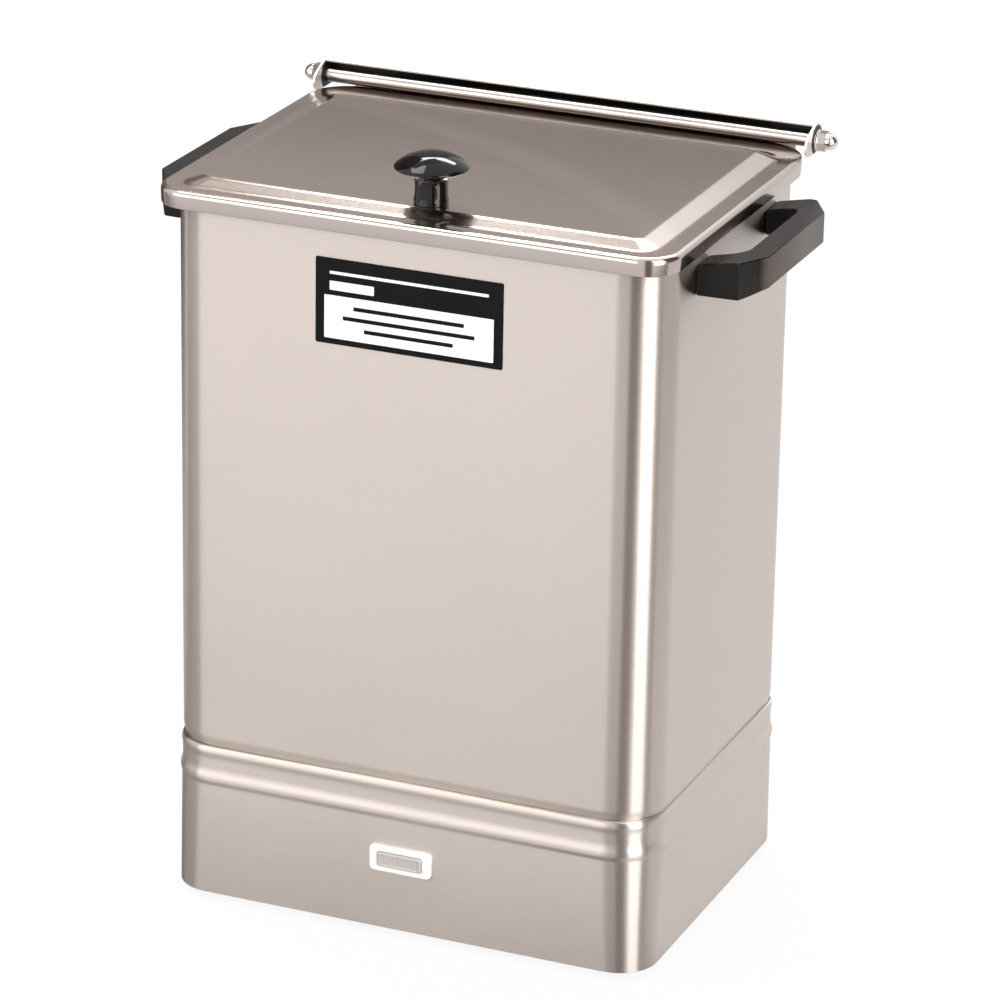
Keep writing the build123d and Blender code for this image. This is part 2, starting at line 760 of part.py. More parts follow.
for side, side_name in ((-1, "left"), (1, "right")):
    with BuildPart() as cap_nut:
        with BuildSketch(Plane.YZ.offset(side * washer_x)):
            with Locations((hinge_y, hinge_z)):
                hexagon(cap_nut_flats)
        extrude(amount=side * cap_nut_hex_h)
        nut_dome_r = cap_nut_flats / 2 - cap_nut_dome_in
        with BuildSketch(Plane.XY.offset(hinge_z)):
            with BuildLine():
                Polyline(
                    (side * (washer_x + cap_nut_hex_h), hinge_y + nut_dome_r),
                    (side * (nut_tip_x - nut_dome_r), hinge_y + nut_dome_r),
                )
                ThreePointArc(
                    (side * (nut_tip_x - nut_dome_r), hinge_y + nut_dome_r),
                    (
                        side * (nut_tip_x - nut_dome_r * (1 - sin(radians(45)))),
                        hinge_y + nut_dome_r * cos(radians(45)),
                    ),
                    (side * nut_tip_x, hinge_y),
                )
                Polyline(
                    (side * nut_tip_x, hinge_y),
                    (side * (washer_x + cap_nut_hex_h), hinge_y),
                    (side * (washer_x + cap_nut_hex_h), hinge_y + nut_dome_r),
                )
            make_face()
        revolve(axis=Axis((0, hinge_y, hinge_z), (1, 0, 0)))
        with BuildSketch(Plane.YZ.offset(side * washer_x)):
            with Locations((hinge_y, hinge_z)):
                Circle(rod_r + rod_fit)
        extrude(amount=side * (cap_nut_hex_h + cap_nut_end_gap), mode=Mode.SUBTRACT)
    finish(f"cap_nut_{side_name}", cap_nut.part)

with BuildPart() as guard_rivets:
    # shank through the guard's tail and the tank's wall, a low head on each side
    for x in rivet_xs:
        outer = Plane.XZ.offset(-half_d - hood_t)
        inner = Plane.XZ.offset(-half_d + sheet)
        with BuildSketch(outer):
            with Locations((x, rivet_z)):
                Circle(rivet_r)
        extrude(amount=hood_t + sheet)
        with BuildSketch(outer):
            with Locations((x, rivet_z)):
                Circle(rivet_head_r)
        extrude(amount=-rivet_head_h, taper=rivet_head_slope)
        with BuildSketch(inner):
            with Locations((x, rivet_z)):
                Circle(rivet_head_r)
        extrude(amount=rivet_head_h, taper=rivet_head_slope)
finish("guard_rivets", guard_rivets.part)


# ================= Side handles =================
def mirrored(side, points):
    """Points of the right side, or of the left side in mirror image."""
    return [(side * x, y) for x, y in points]


handle_wall_x = half_w
grip_in_x = handle_out_x - handle_grip_w
leg_in_half = handle_half_len - handle_leg_w
for side, side_name in ((-1, "left"), (1, "right")):
    with BuildPart() as handle:
        with BuildSketch(Plane.XY.offset(handle_leg_bottom_z)) as plan:
            with BuildLine():
                Polyline(
                    *mirrored(
                        side,
                        [
                            (handle_wall_x, handle_mid_y - handle_half_len),
                            (handle_vertex_x, handle_mid_y - handle_half_len + handle_draft),
                            (handle_out_x, handle_mid_y - handle_grip_half),
                            (handle_out_x, handle_mid_y + handle_grip_half),
                            (handle_vertex_x, handle_mid_y + handle_half_len - handle_draft),
                            (handle_wall_x, handle_mid_y + handle_half_len),
                            (handle_wall_x, handle_mid_y + leg_in_half),
                            (grip_in_x, handle_mid_y + leg_in_half),
                            (grip_in_x, handle_mid_y - leg_in_half),
                            (handle_wall_x, handle_mid_y - leg_in_half),
                        ],
                    ),
                    close=True,
                )
            make_face()
            inner = [v for v in plan.vertices() if abs(abs(v.X) - grip_in_x) < hole_fit]
            fillet(inner, handle_inner_r)
        extrude(amount=handle_top_z - handle_leg_bottom_z)
        # legs' top falls towards the wall
        with BuildSketch(Plane.XZ):
            with BuildLine():
                Polyline(
                    *mirrored(
                        side,
                        [
                            (handle_wall_x - sheet, handle_top_z - handle_top_fall),
                            (handle_wall_x, handle_top_z - handle_top_fall),
                            (handle_vertex_x - handle_fall_start, handle_top_z),
                            (handle_vertex_x - handle_fall_start, handle_top_z + sheet),
                            (handle_wall_x - sheet, handle_top_z + sheet),
                        ],
                    ),
                    close=True,
                )
            make_face()
        extrude(amount=half_d, both=True, mode=Mode.SUBTRACT)
        # the grip's underside is higher than the legs'
        with BuildSketch(Plane.YZ):
            with BuildLine():
                Polyline(
                    (handle_mid_y - handle_half_len + handle_heel, handle_leg_bottom_z - sheet),
                    (handle_mid_y - handle_half_len + handle_heel, handle_leg_bottom_z),
                    (handle_mid_y - leg_in_half, handle_leg_bottom_z + handle_grip_rise),
                    (handle_mid_y + leg_in_half, handle_leg_bottom_z + handle_grip_rise),
                    (handle_mid_y + handle_half_len - handle_heel, handle_leg_bottom_z),
                    (handle_mid_y + handle_half_len - handle_heel, handle_leg_bottom_z - sheet),
                    close=True,
                )
            make_face()
        extrude(amount=side * (handle_out_x + sheet), mode=Mode.SUBTRACT)
        # blind holes of the fixing screws
        with BuildSketch(Plane.YZ.offset(side * handle_wall_x)):
            for end in (-1, 1):
                with Locations((handle_mid_y + end * handle_screw_y, handle_screw_z)):
                    Circle(handle_screw_r + rod_fit)
        extrude(amount=side * handle_screw_deep, mode=Mode.SUBTRACT)
    finish(f"handle_{side_name}", handle.part)

with BuildPart() as handle_washers:
    for side, y in handle_screw_spots:
        with BuildSketch(Plane.YZ.offset(side * (half_w - sheet))):
            with Locations((y, handle_screw_z)):
                Circle(handle_washer_r)
                Circle(handle_screw_r + hole_fit, mode=Mode.SUBTRACT)
        extrude(amount=-side * handle_washer_t)
finish("handle_washers", handle_washers.part)

with BuildPart() as handle_screws:
    for side, y in handle_screw_spots:
        head_x = half_w - sheet - handle_washer_t
        with BuildSketch(Plane.YZ.offset(side * head_x)):
            with Locations((y, handle_screw_z)):
                Circle(screw_head_r)
        extrude(amount=-side * screw_head_h)
        with BuildSketch(Plane.YZ.offset(side * head_x)):
            with Locations((y, handle_screw_z)):
                Circle(handle_screw_r)
        extrude(amount=side * (half_w + handle_screw_deep - screw_end_gap - head_x))
finish("handle_screws", handle_screws.part)

# ================= Plate on the front =================
with BuildPart() as front_plate:
    with BuildSketch(Plane.XZ.offset(half_d)):
        with Locations((plate_x, plate_z)):
            RectangleRounded(plate_w, plate_h, plate_corner_r)
    extrude(amount=plate_t)
finish("front_plate", front_plate.part)

# ================= Pilot lamp =================
with BuildPart() as lamp_bezel:
    with BuildSketch(Plane.XZ.offset(base_half_d)):
        with Locations((0, lamp_z)):
            RectangleRounded(bezel_w, bezel_h, bezel_corner_r)
            RectangleRounded(lens_w, lens_h, lens_corner_r, mode=Mode.SUBTRACT)
    extrude(amount=bezel_proud)
    fillet(lamp_bezel.edges().group_by(Axis.Y)[0], bezel_edge_r)
finish("lamp_bezel", lamp_bezel.part)

with BuildPart() as lamp_lens:
    with BuildSketch(Plane.XZ.offset(base_half_d)):
        with Locations((0, lamp_z)):
            RectangleRounded(lens_w - 2 * lamp_fit, lens_h - 2 * lamp_fit, lens_corner_r - lamp_fit)
    extrude(amount=lens_proud)
    fillet(lamp_lens.edges().group_by(Axis.Y)[0], lens_edge_r)
finish("lamp_lens", lamp_lens.part)

with BuildPart() as lamp_body:
    with BuildSketch(Plane.XZ.offset(base_half_d)):
        with Locations((0, lamp_z)):
            Rectangle(lamp_body_w, lamp_body_h)
    extrude(amount=-lamp_body_deep)
finish("lamp_body", lamp_body.part)

lamp_back_y = -base_half_d + lamp_body_deep
with BuildPart() as lamp_tabs:
    with BuildSketch(Plane.XZ.offset(-lamp_back_y)):
        for side in (-1, 1):
            with Locations((side * lamp_body_w / 4, lamp_z)):
                Rectangle(lamp_tab[1], lamp_tab[0])
    extrude(amount=-lamp_tab[2])
finish("lamp_tabs", lamp_tabs.part)

# ================= Heating element =================
gasket_top_z = tank_floor_z + gasket_t
with BuildPart() as heating_element:
    with BuildLine() as hairpin:
        FilletPolyline(
            (-element_x, -element_half_gap, element_end_z),
            (-element_x, -element_half_gap, element_z),
            (element_x, -element_half_gap, element_z),
            (element_x, element_half_gap, element_z),
            (-element_x, element_half_gap, element_z),
            (-element_x, element_half_gap, element_end_z),
            radius=element_bend_r,
        )
    with BuildSketch(Plane((-element_x, -element_half_gap, element_end_z))):
        Circle(element_r)
    sweep(path=hairpin.wire())
    with BuildSketch(Plane.XY.offset(gasket_top_z)):
        with Locations(*element_spots):
            Circle(element_collar_r)
    extrude(amount=element_collar_h)
    with BuildSketch(Plane.XY.offset(gasket_top_z)):
        with Locations(*element_spots):
            Circle(thread_r)
    extrude(amount=thread_bottom_z - gasket_top_z)
finish("heating_element", heating_element.part)

with BuildPart() as element_gaskets:
    with BuildSketch(Plane.XY.offset(tank_floor_z)):
        with Locations(*element_spots):
            Circle(gasket_r)
            Circle(thread_r + hole_fit, mode=Mode.SUBTRACT)
    extrude(amount=gasket_t)
finish("element_gaskets", element_gaskets.part)

floor_under_z = tank_floor_z - floor_t
with BuildPart() as element_nuts:
    with BuildSketch(Plane.XY.offset(floor_under_z)):
        with Locations(*element_spots):
            hexagon(element_nut_flats)
            Circle(thread_r + rod_fit, mode=Mode.SUBTRACT)
    extrude(amount=-element_nut_h)
finish("element_nuts", element_nuts.part)

with BuildPart() as element_terminals:
    with BuildSketch(Plane.XY.offset(element_end_z)):
        with Locations(*element_spots):
            Circle(terminal_r)
    extrude(amount=-terminal_len)
    with BuildSketch(Plane.XY.offset(element_end_z)):
        with Locations(*element_spots):
            Circle(element_r)
    extrude(amount=-terminal_bead_h)
finish("element_terminals", element_terminals.part)

# ================= Thermostat =================
stat_body_bottom_z = stat_plate_z + stat_plate_t
with BuildPart() as thermostat_bracket:
    # channel hung from the tank's floor, with the thermostat standing on its lower leg
    with BuildSketch(Plane.YZ.offset(stat_x - bracket_w / 2)):
        with BuildLine():
            FilletPolyline(
                (stat_y - bracket_d / 2, stat_plate_z + stat_plate_t / 2),
                (stat_y + bracket_d / 2, stat_plate_z + stat_plate_t / 2),
                (stat_y + bracket_d / 2, floor_under_z - stat_plate_t / 2),
                (stat_y - bracket_d / 2, floor_under_z - stat_plate_t / 2),
                radius=2 * stat_plate_t,
            )
        trace(line_width=stat_plate_t)
    extrude(amount=bracket_w)
    with BuildSketch(Plane.XY.offset(stat_plate_z)):
        with Locations((stat_x, stat_y)):
            Circle(stat_bush_r + hole_fit)
    extrude(amount=stat_plate_t, mode=Mode.SUBTRACT)
finish("thermostat_bracket", thermostat_bracket.part)

with BuildPart() as thermostat_body:
    with BuildSketch(Plane.XY.offset(stat_body_bottom_z)):
        with Locations((stat_x, stat_y)):
            RectangleRounded(stat_body_w, stat_body_d, stat_body_corner_r)
    extrude(amount=stat_body_h)
    with BuildSketch(Plane.XY.offset(stat_body_bottom_z)):
        with Locations((stat_x, stat_y)):
            Circle(stat_bush_r)
    extrude(amount=stat_bush_bottom_z - stat_body_bottom_z)
    with BuildSketch(Plane.XY.offset(stat_bush_bottom_z)):
        with Locations((stat_x, stat_y)):
            Circle(stat_shaft_r + rod_fit)
    extrude(amount=stat_body_bottom_z - stat_bush_bottom_z, mode=Mode.SUBTRACT)
finish("thermostat_body", thermostat_body.part)

with BuildPart() as thermostat_nut:
    with BuildSketch(Plane.XY.offset(stat_plate_z)):
        with Locations((stat_x, stat_y)):
            hexagon(stat_nut_flats)
            Circle(stat_bush_r + rod_fit, mode=Mode.SUBTRACT)
    extrude(amount=-stat_nut_h)
finish("thermostat_nut", thermostat_nut.part)

with BuildPart() as thermostat_shaft:
    with BuildSketch(Plane.XY.offset(stat_shaft_bottom_z)):
        with Locations((stat_x, stat_y)):
            Circle(stat_shaft_r)
    extrude(amount=stat_body_bottom_z - rod_fit - stat_shaft_bottom_z)
finish("thermostat_shaft", thermostat_shaft.part)

with BuildPart() as thermostat_knob:
    with BuildSketch(Plane.XY.offset(stat_knob_bottom_z)):
        with Locations((stat_x, stat_y)):
            Circle(stat_knob_r)
            with PolarLocations(stat_knob_r + stat_flute_r / 3, stat_knob_flutes):
                Circle(stat_flute_r, mode=Mode.SUBTRACT)
    extrude(amount=stat_knob_h)
    with BuildSketch(Plane.XY.offset(stat_shaft_bottom_z)):
        with Locations((stat_x, stat_y)):
            Circle(stat_shaft_r)
    extrude(amount=stat_knob_h, mode=Mode.SUBTRACT)
    # pointer groove in the face that looks down
    with BuildSketch(Plane.XY.offset(stat_knob_bottom_z)):
        with Locations((stat_x, stat_y + stat_knob_r / 2)):
            Rectangle(stat_slot[0], stat_slot[1])
    extrude(amount=stat_slot[2], mode=Mode.SUBTRACT)
finish("thermostat_knob", thermostat_knob.part)

# ================= Sensing bulb, capillary and gland =================
with BuildPart() as sensing_bulb:
    with BuildSketch(Plane.YZ.offset(-bulb_half_len)):
        with Locations((bulb_y, bulb_z)):
            Circle(bulb_r)
    extrude(amount=2 * bulb_half_len)
    fillet(sensing_bulb.edges().group_by(Axis.X)[-1], bulb_end_r)
finish("sensing_bulb", sensing_bulb.part)

clip_half = bulb_r + hole_fit + clip_t / 2
with BuildPart() as bulb_clips:
    for x in clip_xs:
        with BuildSketch(Plane.YZ.offset(x - clip_w / 2)):
            with BuildLine():
                FilletPolyline(
                    (bulb_y - clip_half - clip_foot, tank_floor_z + clip_t / 2),
                    (bulb_y - clip_half, tank_floor_z + clip_t / 2),
                    (bulb_y - clip_half, bulb_z),
                    radius=clip_bend_r,
                )
                CenterArc((bulb_y, bulb_z), clip_half, 180, -180)
                FilletPolyline(
                    (bulb_y + clip_half, bulb_z),
                    (bulb_y + clip_half, tank_floor_z + clip_t / 2),
                    (bulb_y + clip_half + clip_foot, tank_floor_z + clip_t / 2),
                    radius=clip_bend_r,
                )
            trace(line_width=clip_t)
        extrude(amount=clip_w)
finish("bulb_clips", bulb_clips.part)

with BuildPart() as bulb_gland:
    with BuildSketch(Plane.XY.offset(tank_floor_z)):
        with Locations((gland_x, bulb_y)):
            hexagon(bulb_gland_flats)
    extrude(amount=bulb_gland_hex_h)
    with BuildSketch(Plane.XY.offset(tank_floor_z)):
        with Locations((gland_x, bulb_y)):
            Circle(bulb_gland_r)
    extrude(amount=-floor_t - bulb_gland_hex_h - bulb_thread_past)
    with BuildSketch(Plane.XY.offset(tank_floor_z + bulb_gland_hex_h)):
        with Locations((gland_x, bulb_y)):
            Circle(capillary_r + rod_fit)
    extrude(amount=-floor_t - 2 * bulb_gland_hex_h - bulb_thread_past, mode=Mode.SUBTRACT)
finish("bulb_gland", bulb_gland.part)

with BuildPart() as bulb_gland_nut:
    with BuildSketch(Plane.XY.offset(floor_under_z)):
        with Locations((gland_x, bulb_y)):
            hexagon(bulb_nut_flats)
            Circle(bulb_gland_r + rod_fit, mode=Mode.SUBTRACT)
    extrude(amount=-bulb_gland_hex_h)
finish("bulb_gland_nut", bulb_gland_nut.part)

stat_top_z = stat_body_bottom_z + stat_body_h
with BuildPart() as capillary:
    with BuildLine() as capillary_route:
        FilletPolyline(
            (-bulb_half_len, bulb_y, bulb_z),
            (gland_x, bulb_y, bulb_z),
            (gland_x, bulb_y, capillary_low_z),
            (capillary_turn[0], capillary_turn[1], capillary_low_z),
            (stat_x - stat_capillary_in, stat_y, capillary_low_z),
            (stat_x - stat_capillary_in, stat_y, stat_top_z),
            radius=[capillary_gland_bend_r, capillary_bend_r, capillary_bend_r, capillary_bend_r],
        )
    with BuildSketch(Plane((-bulb_half_len, bulb_y, bulb_z), z_dir=(-1, 0, 0))):
        Circle(capillary_r)
    sweep(path=capillary_route.wire())
finish("capillary", capillary.part)

# ================= Supply parts in the base =================
block_bottom_z = floor_under_z - block_h
with BuildPart() as terminal_block:
    with BuildSketch(Plane.XY.offset(block_bottom_z)):
        with Locations((block_x, block_y)):
            Rectangle(block_w, block_d)
    extrude(amount=block_h)
    with BuildSketch(Plane.XY.offset(block_bottom_z)):
        with Locations((block_x, block_y)):
            with GridLocations(block_pitch, block_d / 2, 3, 2):
                Circle(block_hole_r)
    extrude(amount=block_hole_h, mode=Mode.SUBTRACT)
finish("terminal_block", terminal_block.part)

with BuildPart() as terminal_screws:
    with BuildSketch(Plane.XY.offset(block_bottom_z + block_hole_h)):
        with Locations((block_x, block_y)):
            with GridLocations(block_pitch, block_d / 2, 3, 2):
                Circle(block_screw_r)
    extrude(amount=-block_screw_h)
finish("terminal_screws", terminal_screws.part)

with BuildPart() as earth_stud:
    with BuildSketch(Plane.XY.offset(floor_under_z)):
        with Locations((earth_x, earth_y)):
            Circle(earth_r)
    extrude(amount=-earth_len)
finish("earth_stud", earth_stud.part)

with BuildPart() as earth_nut:
    with BuildSketch(Plane.XY.offset(floor_under_z - earth_washer_t)):
        with Locations((earth_x, earth_y)):
            hexagon(earth_nut_flats)
            Circle(earth_r + rod_fit, mode=Mode.SUBTRACT)
    extrude(amount=-earth_nut_h)
    with BuildSketch(Plane.XY.offset(floor_under_z)):
        with Locations((earth_x, earth_y)):
            Circle(earth_washer_r)
            Circle(earth_r + rod_fit, mode=Mode.SUBTRACT)
    extrude(amount=-earth_washer_t)
finish("earth_nut", earth_nut.part)

with BuildPart() as cord_gland:
    with BuildSketch(Plane.XZ.offset(-base_half_d)):
        with Locations((cord_gland_x, cord_gland_z)):
            hexagon(cord_gland_flats)
    extrude(amount=-cord_gland_hex_h)
    with BuildSketch(Plane.XZ.offset(-base_half_d)):
        with Locations((cord_gland_x, cord_gland_z)):
            Circle(cord_gland_ring_r)
    extrude(amount=-cord_gland_proud)
    with BuildSketch(Plane.XZ.offset(-base_half_d)):
        with Locations((cord_gland_x, cord_gland_z)):
            Circle(cord_gland_thread_r)
    extrude(amount=cord_gland_inside)
    with BuildSketch(Plane.XZ.offset(-base_half_d - cord_gland_proud)):
        with Locations((cord_gland_x, cord_gland_z)):
            Circle(cord_gland_bore_r)
    extrude(amount=cord_gland_proud + cord_gland_inside, mode=Mode.SUBTRACT)
finish("cord_gland", cord_gland.part)

with BuildPart() as cord_gland_nut:
    with BuildSketch(Plane.XZ.offset(-base_half_d + sheet)):
        with Locations((cord_gland_x, cord_gland_z)):
            hexagon(cord_gland_flats)
            Circle(cord_gland_thread_r + rod_fit, mode=Mode.SUBTRACT)
    extrude(amount=cord_gland_nut_h)
finish("cord_gland_nut", cord_gland_nut.part)


# ================= Leads inside the base =================
def lead(name, start_dir, *points):
    """One insulated lead: straight runs joined by arcs."""
    with BuildPart() as wire:
        with BuildLine() as route:
            FilletPolyline(*points, radius=lead_bend_r)
        with BuildSketch(Plane(points[0], z_dir=start_dir)):
            Circle(lead_r)
        sweep(path=route.wire())
    finish(name, wire.part)


terminal_bottom_z = element_end_z - terminal_len
feed_z = terminal_bottom_z - feed_drop
stat_side_x = stat_x - stat_body_w / 2
stat_entry_z = stat_body_bottom_z + feed_entry_rise
block_row_y = block_y - block_d / 4
lead_end_z = block_bottom_z + lead_into_block
return_z = block_bottom_z - block_approach_drops[0]
lamp_lead_z = block_bottom_z - block_approach_drops[1]
earth_lead_z = block_bottom_z - block_approach_drops[2]
lamp_tab_x = -lamp_body_w / 4
lamp_tab_y = lamp_back_y + lamp_tab[2]
earth_end_z = floor_under_z - earth_len
down = (0, 0, -1)
lead(
    "lead_element_feed",
    down,
    (-element_x, -element_half_gap, terminal_bottom_z),
    (-element_x, -element_half_gap, feed_z),
    (feed_turn[0], feed_turn[1], feed_z),
    (stat_side_x - feed_entry_run, stat_y, stat_entry_z),
    (stat_side_x, stat_y, stat_entry_z),
)
lead(
    "lead_element_return",
    down,
    (-element_x, element_half_gap, terminal_bottom_z),
    (-element_x, element_half_gap, terminal_bottom_z - return_drop),
    (return_turn[0], return_turn[1], return_z),
    (block_x - block_pitch, block_row_y, return_z),
    (block_x - block_pitch, block_row_y, lead_end_z),
)
lead(
    "lead_lamp",
    (0, 1, 0),
    (lamp_tab_x, lamp_tab_y, lamp_z),
    (lamp_tab_x, lamp_tab_y + lamp_run, lamp_z),
    lamp_turn,
    (block_x, block_row_y, lamp_lead_z),
    (block_x, block_row_y, lead_end_z),
)
lead(
    "lead_earth",
    down,
    (earth_x, earth_y, earth_end_z),
    (earth_x, earth_y, earth_end_z - earth_drop),
    (earth_turn[0], earth_turn[1], earth_lead_z),
    (block_x + block_pitch, block_row_y, earth_lead_z),
    (block_x + block_pitch, block_row_y, lead_end_z),
)

# ================= Wire rack =================
rack_half_w = half_w - sheet - rack_side_gap
rack_half_d = half_d - sheet - rack_end_gap
rack_z = tank_floor_z + rack_above_floor
rack_leg_x = rack_half_w - rack_leg_in
divider_half_w = rack_half_w - divider_in
divider_top_z = rim_z - divider_top_drop
cross_z = rack_z + 2 * wire_r - weld_sink
with BuildPart() as rack_grid:
    with BuildSketch(Plane.XZ):
        with Locations((rack_half_w, rack_z)):
            Circle(wire_r)
    sweep(path=ring_path(rack_half_w, rack_half_d, rack_corner_r, rack_z))
    cross_pitch = 2 * divider_half_w / (cross_wires - 1)
    with BuildSketch(Plane.XZ.offset(-rack_half_d)):
        for index in range(cross_wires):
            with Locations((-divider_half_w + index * cross_pitch, cross_z)):
                Circle(wire_r)
    extrude(amount=2 * rack_half_d)
    with BuildSketch(Plane.XY.offset(tank_floor_z)):
        for x in (-rack_leg_x, rack_leg_x):
            for y in (-rack_half_d, rack_half_d):
                with Locations((x, y)):
                    Circle(wire_r)
    extrude(amount=rack_z - tank_floor_z)
finish("rack_grid", rack_grid.part)

divider_foot_z = cross_z + wire_r
for index, divider_name in enumerate(("front", "middle", "rear")):
    y = (index - 1) * divider_pitch
    with BuildPart() as divider:
        with BuildLine() as hoop:
            FilletPolyline(
                (-divider_half_w, y, divider_foot_z),
                (-divider_half_w, y, divider_top_z),
                (divider_half_w, y, divider_top_z),
                (divider_half_w, y, divider_foot_z),
                radius=divider_corner_r,
            )
        with BuildSketch(Plane((-divider_half_w, y, divider_foot_z))):
            Circle(wire_r)
        sweep(path=hoop.wire())
    finish(f"rack_divider_{divider_name}", divider.part)

print(len(PARTS), "pieces written")
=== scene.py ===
from math import asin, cos, pi, radians, sin

import bmesh
import bpy
from mathutils import Matrix, Vector


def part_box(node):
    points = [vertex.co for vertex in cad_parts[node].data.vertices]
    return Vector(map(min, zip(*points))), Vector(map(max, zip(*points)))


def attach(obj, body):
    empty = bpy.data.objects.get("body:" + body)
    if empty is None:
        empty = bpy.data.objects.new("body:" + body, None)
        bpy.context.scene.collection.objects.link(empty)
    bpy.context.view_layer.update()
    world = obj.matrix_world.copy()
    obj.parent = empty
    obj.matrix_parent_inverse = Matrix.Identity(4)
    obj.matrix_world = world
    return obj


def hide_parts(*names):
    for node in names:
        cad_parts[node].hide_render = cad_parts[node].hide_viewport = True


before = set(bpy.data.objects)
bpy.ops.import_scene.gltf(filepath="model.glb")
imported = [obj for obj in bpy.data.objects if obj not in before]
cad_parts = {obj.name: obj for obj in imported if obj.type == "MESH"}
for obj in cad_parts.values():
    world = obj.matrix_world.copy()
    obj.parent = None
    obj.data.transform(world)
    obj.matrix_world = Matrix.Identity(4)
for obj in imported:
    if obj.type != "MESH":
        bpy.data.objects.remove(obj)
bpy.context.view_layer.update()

bl_info = {
    "name": "Hot pack heater",
    "version": (1, 0, 0),
    "blender": (4, 5, 0),
    "location": "3D View > Sidebar > Heater",
    "description": "Dresses the heater's solids: bent sheet, moulded grips, lamp, rack and wiring",
    "category": "Object",
}

MM = 0.001
CABINET, LID = "cabinet", "lid"


# ---------------------------------------------------------------- shader expressions
class Signal:
    """A shader socket that takes part in Python arithmetic."""

    def __init__(self, tree, socket):
        self.tree = tree
        self.socket = socket

    def calc(self, operation, *values, clamp=False):
        inputs = {index: value for index, value in enumerate((self, *values))}
        return self.tree.node("ShaderNodeMath", {"operation": operation, "use_clamp": clamp}, inputs)

    def __add__(self, other):
        return self.calc("ADD", other)

    def __sub__(self, other):
        return self.calc("SUBTRACT", other)

    def __mul__(self, other):
        return self.calc("MULTIPLY", other)

    def __rsub__(self, other):
        return (self * -1.0) + other

    __radd__ = __add__
    __rmul__ = __mul__

    def between(self, low, high):
        """0 below low, 1 above high, smooth in between."""
        return self.tree.node(
            "ShaderNodeMapRange",
            {"interpolation_type": "SMOOTHSTEP"},
            {"Value": self, "From Min": low, "From Max": high},
        )


class Tree:
    """Node tree of a material or of the world; node() makes every node."""

    def __init__(self, owner):
        owner.use_nodes = True
        self.owner = owner
        self.tree = owner.node_tree
        self.tree.nodes.clear()

    def node(self, kind, settings=None, inputs=None, output=0):
        made = self.tree.nodes.new(kind)
        for key, value in (settings or {}).items():
            if key == "stops":
                ramp = made.color_ramp
                ramp.elements[0].position, ramp.elements[0].color = value[0]
                ramp.elements[1].position, ramp.elements[1].color = value[-1]
                for place, colour in value[1:-1]:
                    ramp.elements.new(place).color = colour
            else:
                setattr(made, key, value)
        for key, value in (inputs or {}).items():
            socket = made.inputs[key]
            if isinstance(value, Signal):
                self.tree.links.new(value.socket, socket)
            else:
                socket.default_value = value
        return Signal(self, made.outputs[output]) if made.outputs else made

    def place(self, stretch=(1.0, 1.0, 1.0), offset=(0.0, 0.0, 0.0)):
        """Position on the object in metres, stretched along its axes."""
        where = self.node("ShaderNodeTexCoord", output="Object")
        return self.node("ShaderNodeMapping", {}, {"Vector": where, "Scale": stretch, "Location": offset})

    def noise(self, scale, stretch=(1.0, 1.0, 1.0), detail=3.0, rough=0.5, offset=(0.0, 0.0, 0.0)):
        return self.node(
            "ShaderNodeTexNoise",
            {},
            {"Vector": self.place(stretch, offset), "Scale": scale, "Detail": detail, "Roughness": rough},
        )

    def axis(self, letter):
        """Position on the object along one axis, in metres."""
        return self.node("ShaderNodeSeparateXYZ", {}, {"Vector": self.place()}, output=letter)

    def upward(self):
        """1 on faces that look up, 0 on faces that stand."""
        facing = self.node("ShaderNodeTexCoord", output="Normal")
        return self.node("ShaderNodeSeparateXYZ", {}, {"Vector": facing}, output="Z").between(0.55, 0.85)

    def reach(self, first, second):
        """Distance from an origin with the two given offsets."""
        return (first * first + second * second).calc("SQRT")

    def blend(self, share, first, second):
        """Colour mix."""
        return self.node(
            "ShaderNodeMix",
            {"data_type": "RGBA"},
            {0: share, 6: first, 7: second},
            output=2,
        )

    def bump(self, height, depth, strength=1.0, normal=None):
        inputs = {"Height": height, "Distance": depth, "Strength": strength}
        if normal:
            inputs["Normal"] = normal
        return self.node("ShaderNodeBump", {}, inputs)

    def surface(self, **inputs):
        """Principled surface; underscores in the names stand for spaces."""
        shader = self.node(
            "ShaderNodeBsdfPrincipled", {}, {key.replace("_", " "): value for key, value in inputs.items()}
        )
        self.node("ShaderNodeOutputMaterial", {}, {"Surface": shader})
        return self.owner


def colour(values, gain=1.0):
    return (*(min(1.0, channel * gain) for channel in values), 1.0)


def finish_tree(name):
    return Tree(bpy.data.materials.new(name))


# ---------------------------------------------------------------- finishes
def sheet_steel(name, grain, tint, roughness, anisotropy, turn, upright=None, painted_sheen=None):
    """Brushed stainless: streaks along the grain, faint handling marks and a little waviness.

    Faces that stand upright may have a grain of their own; a painted sheen may lighten parts of the sheet.
    """
    tree = finish_tree(name)
    streaks = tree.noise(1.0, grain, detail=4.0, rough=0.62)
    if upright:
        level = tree.upward()
        streaks = streaks * level + tree.noise(1.0, upright, detail=4.0, rough=0.62) * (1.0 - level)
    speckle = tree.noise(1500.0, detail=2.0)
    clouds = tree.noise(9.0, detail=2.0, rough=0.4)
    waves = tree.noise(5.0, (1.0, 1.0, 0.6), detail=1.0)
    shade = (clouds - 0.5) * 0.16 + (streaks - 0.5) * 0.22 + (speckle - 0.5) * 0.10 + 0.5
    base = tree.blend(shade, colour(tint, 0.90), colour(tint, 1.10))
    # painted sheen: the mask lightens the base colour
    if painted_sheen:
        base = tree.blend(painted_sheen(tree), base, colour(tint, 1.80))
    uneven = (streaks - 0.5) * 0.10 + (clouds - 0.5) * 0.06 + roughness
    wavy = tree.bump(waves, 0.0011, 0.55)
    normal = tree.bump(streaks * 0.7 + speckle * 0.3, 0.00001, 0.6, wavy)
    return tree.surface(
        Base_Color=base,
        Metallic=1.0,
        Roughness=uneven,
        Anisotropic=anisotropy,
        Anisotropic_Rotation=turn,
        Normal=normal,
    )


